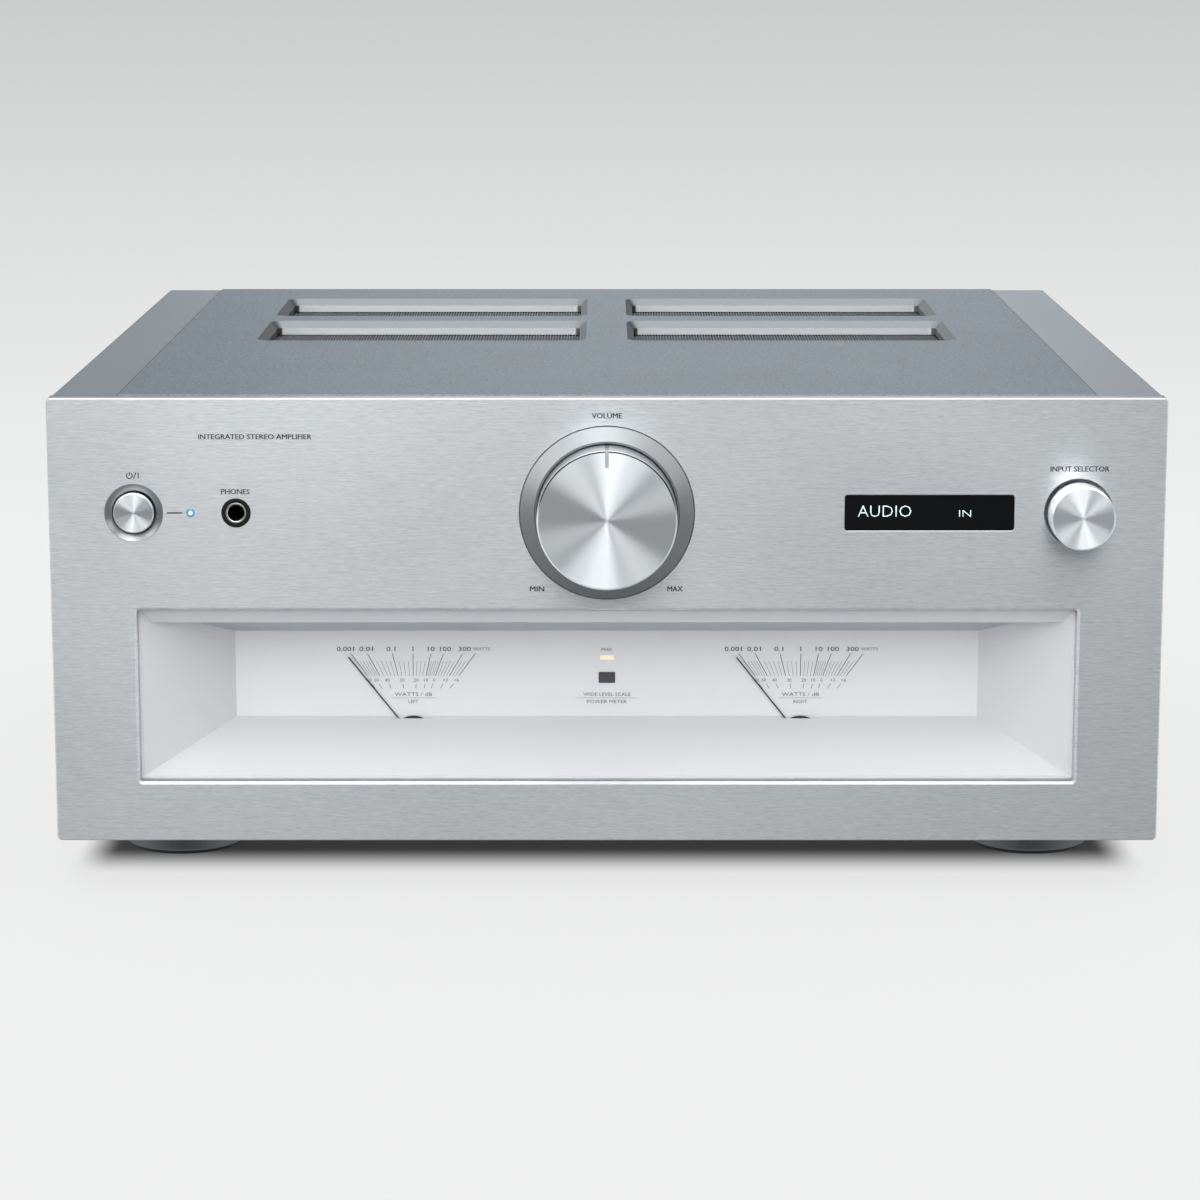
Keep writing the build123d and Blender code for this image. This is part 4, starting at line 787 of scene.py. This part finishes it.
# ---------------------------------------------------------------- floor and backdrop

FLOOR_SIZE = 60
BACKDROP_R, BACKDROP_HEIGHT = 24, 40
BACKDROP_GLOW = (0.6, 0.6, 0.6)
# The paper glows a little less far behind the object, as painted light falloff, and hardly under it, as a
# painted shadow: (even, falling, fall per metre)
PAPER_GLOW = (0.395, 0.361, 0.3)
GLOW_FALLS_FROM = 0.6
GLOW_IN_PAINTED_SHADOW = 0.04
# Where the glow fades back in at the edges of the painted shadow, from the body's sides and from its front
# and back
SHADOW_FADE_ASIDE = (0.002, -0.016)
SHADOW_FADE_ALONG = (-0.022, -0.065)


def staged(name, bm, recipe):
    made = bpy.data.objects.new(name, mesh_of(name, bm))
    scene.collection.objects.link(made)
    made.data.materials.append(recipe.material)
    made.visible_glossy = False
    return made


def stage_floor():
    bm = bmesh.new()
    bmesh.ops.create_grid(bm, x_segments=1, y_segments=1, size=FLOOR_SIZE)
    paper = Recipe("floor_paper", Roughness=0.9, Base_Color=(0.02, 0.02, 0.02))
    x, y = paper.axis("X"), paper.axis("Y")
    even, falling, fall = PAPER_GLOW
    far = paper.math("MAXIMUM", paper.math("SUBTRACT", y, GLOW_FALLS_FROM), 0.0)
    lit = paper.math("ADD", paper.math("DIVIDE", falling, paper.math("MULTIPLY_ADD", far, fall, 1.0)), even)
    middle = ((cad_low + cad_high) / 2).x
    beyond = paper.math("ABSOLUTE", paper.math("SUBTRACT", x, middle))
    beyond = paper.math("SUBTRACT", beyond, cad_high.x - middle)
    astern = paper.math("ABSOLUTE", paper.math("SUBTRACT", y, (FRONT_Y + REAR_Y) / 2))
    astern = paper.math("SUBTRACT", astern, (REAR_Y - FRONT_Y) / 2)
    # Painted shadow: under the body the glow drops to a small share of its strength.
    under = paper.math("MULTIPLY", paper.step(beyond, *SHADOW_FADE_ASIDE), paper.step(astern, *SHADOW_FADE_ALONG))
    paper.glow(paper.math("MULTIPLY", lit, paper.between(under, 1.0, GLOW_IN_PAINTED_SHADOW)), 1.0)
    staged("floor", bm, paper)


def backdrop():
    """A far wall as bright as the far floor, for low views. It neither lights nor shades anything."""
    bm = bmesh.new()
    size = {"radius1": BACKDROP_R, "radius2": BACKDROP_R, "depth": BACKDROP_HEIGHT}
    bmesh.ops.create_cone(bm, cap_ends=False, segments=96, **size)
    paint = Recipe("backdrop_paper", Base_Color=(0, 0, 0))
    paint.glow(BACKDROP_GLOW, 1.0)
    made = staged("backdrop", bm, paint)
    made.visible_diffuse = made.visible_transmission = made.visible_shadow = False


stage_floor()
backdrop()

# ---------------------------------------------------------------- lights and camera

# name: (place, size, radiance)
SOFTBOXES = {
    "strip_left": ((-0.3, -2.0, 1.2), (0.25, 1.2), 6.1),
    "strip_far_left": ((-0.65, -2.0, 1.0), (0.3, 1.2), 2.6),
    "strip_middle": ((0.0, -2.0, 1.2), (0.25, 1.2), 4.2),
    "strip_right": ((0.35, -2.0, 1.2), (0.3, 1.2), 3.3),
    "front_left": ((-1.3, -1.6, 0.8), (0.8, 1.0), 3.2),
    "front_right": ((1.3, -1.6, 0.8), (0.8, 1.0), 1.6),
    "diagonal_left": ((-1.05, -2.0, 0.6), (0.5, 0.6), 2.4),
    "diagonal_right": ((1.05, -2.0, 0.6), (0.5, 0.6), 2.0),
    "over_front": ((0, -1.4, 2.0), (2.0, 1.0), 1.5),
    "rear": ((0.1, 2.6, 1.0), (1.0, 0.8), 1.05),
    "rear_right": ((1.0, 2.4, 0.8), (0.8, 0.8), 0.2),
}
LIGHTS_AIM = Vector((0, -0.1, 0.12))
for name, (place, size, radiance) in SOFTBOXES.items():
    lamp = bpy.data.lights.new(name, "AREA")
    lamp.shape = "RECTANGLE"
    lamp.size, lamp.size_y = size
    lamp.energy = radiance * math.pi * size[0] * size[1]
    softbox = bpy.data.objects.new(name, lamp)
    scene.collection.objects.link(softbox)
    softbox.location = place
    softbox.rotation_euler = (LIGHTS_AIM - Vector(place)).to_track_quat("-Z", "Y").to_euler()
    softbox.visible_camera = False

# The studio round it: brightness by direction, as (direction, exponent, radiance)
LOBES = (
    ((0, 0, 1), 2.0, 3.5),
    ((0, 0, -1), 2.0, 0.5),
    ((0, -1, 0.15), 2.0, 0.3),
    ((1, 0, -0.35), 3.0, 1.0),
    ((-1, 0, -0.35), 3.0, 1.0),
    ((0, 1, 0.1), 4.0, 0.1),
)
STUDIO_TINT = (0.965, 1.0, 1.025)

world = bpy.data.worlds.new("studio")
scene.world = world
world.use_nodes = True
sky = world.node_tree
direction = sky.nodes.new("ShaderNodeTexCoord").outputs["Generated"]


def sky_step(kind, operation, value, amount, output="Value"):
    """Adds a Math or VectorMath node to the sky. amount is a number, a vector or another output."""
    made = sky.nodes.new("ShaderNode" + kind)
    made.operation = operation
    sky.links.new(value, made.inputs[0])
    if isinstance(amount, bpy.types.NodeSocket):
        sky.links.new(amount, made.inputs[1])
    else:
        made.inputs[1].default_value = amount
    return made.outputs[output]


total = None
for axis, exponent, radiance in LOBES:
    lobe = sky_step("VectorMath", "DOT_PRODUCT", direction, Vector(axis).normalized())
    lobe = sky_step("Math", "MAXIMUM", lobe, 0.0)
    lobe = sky_step("Math", "POWER", lobe, exponent)
    lobe = sky_step("Math", "MULTIPLY", lobe, radiance)
    total = sky_step("Math", "ADD", total, lobe) if total else lobe
tinted = sky_step("VectorMath", "MULTIPLY", total, STUDIO_TINT, "Vector")
sky.links.new(tinted, sky.nodes["Background"].inputs["Color"])

CAMERA_AT = (-0.00074, -1.621, 0.3796)
CAMERA_PITCH = math.radians(90 - 10.576)
camera_data = bpy.data.cameras.new("camera")
camera_data.sensor_width = 36
camera_data.lens = 111.7
camera_data.shift_x = -0.0042
camera_data.clip_end = 100
camera = bpy.data.objects.new("camera", camera_data)
camera.location = CAMERA_AT
camera.rotation_euler = (CAMERA_PITCH, 0, 0)
scene.collection.objects.link(camera)
scene.camera = camera
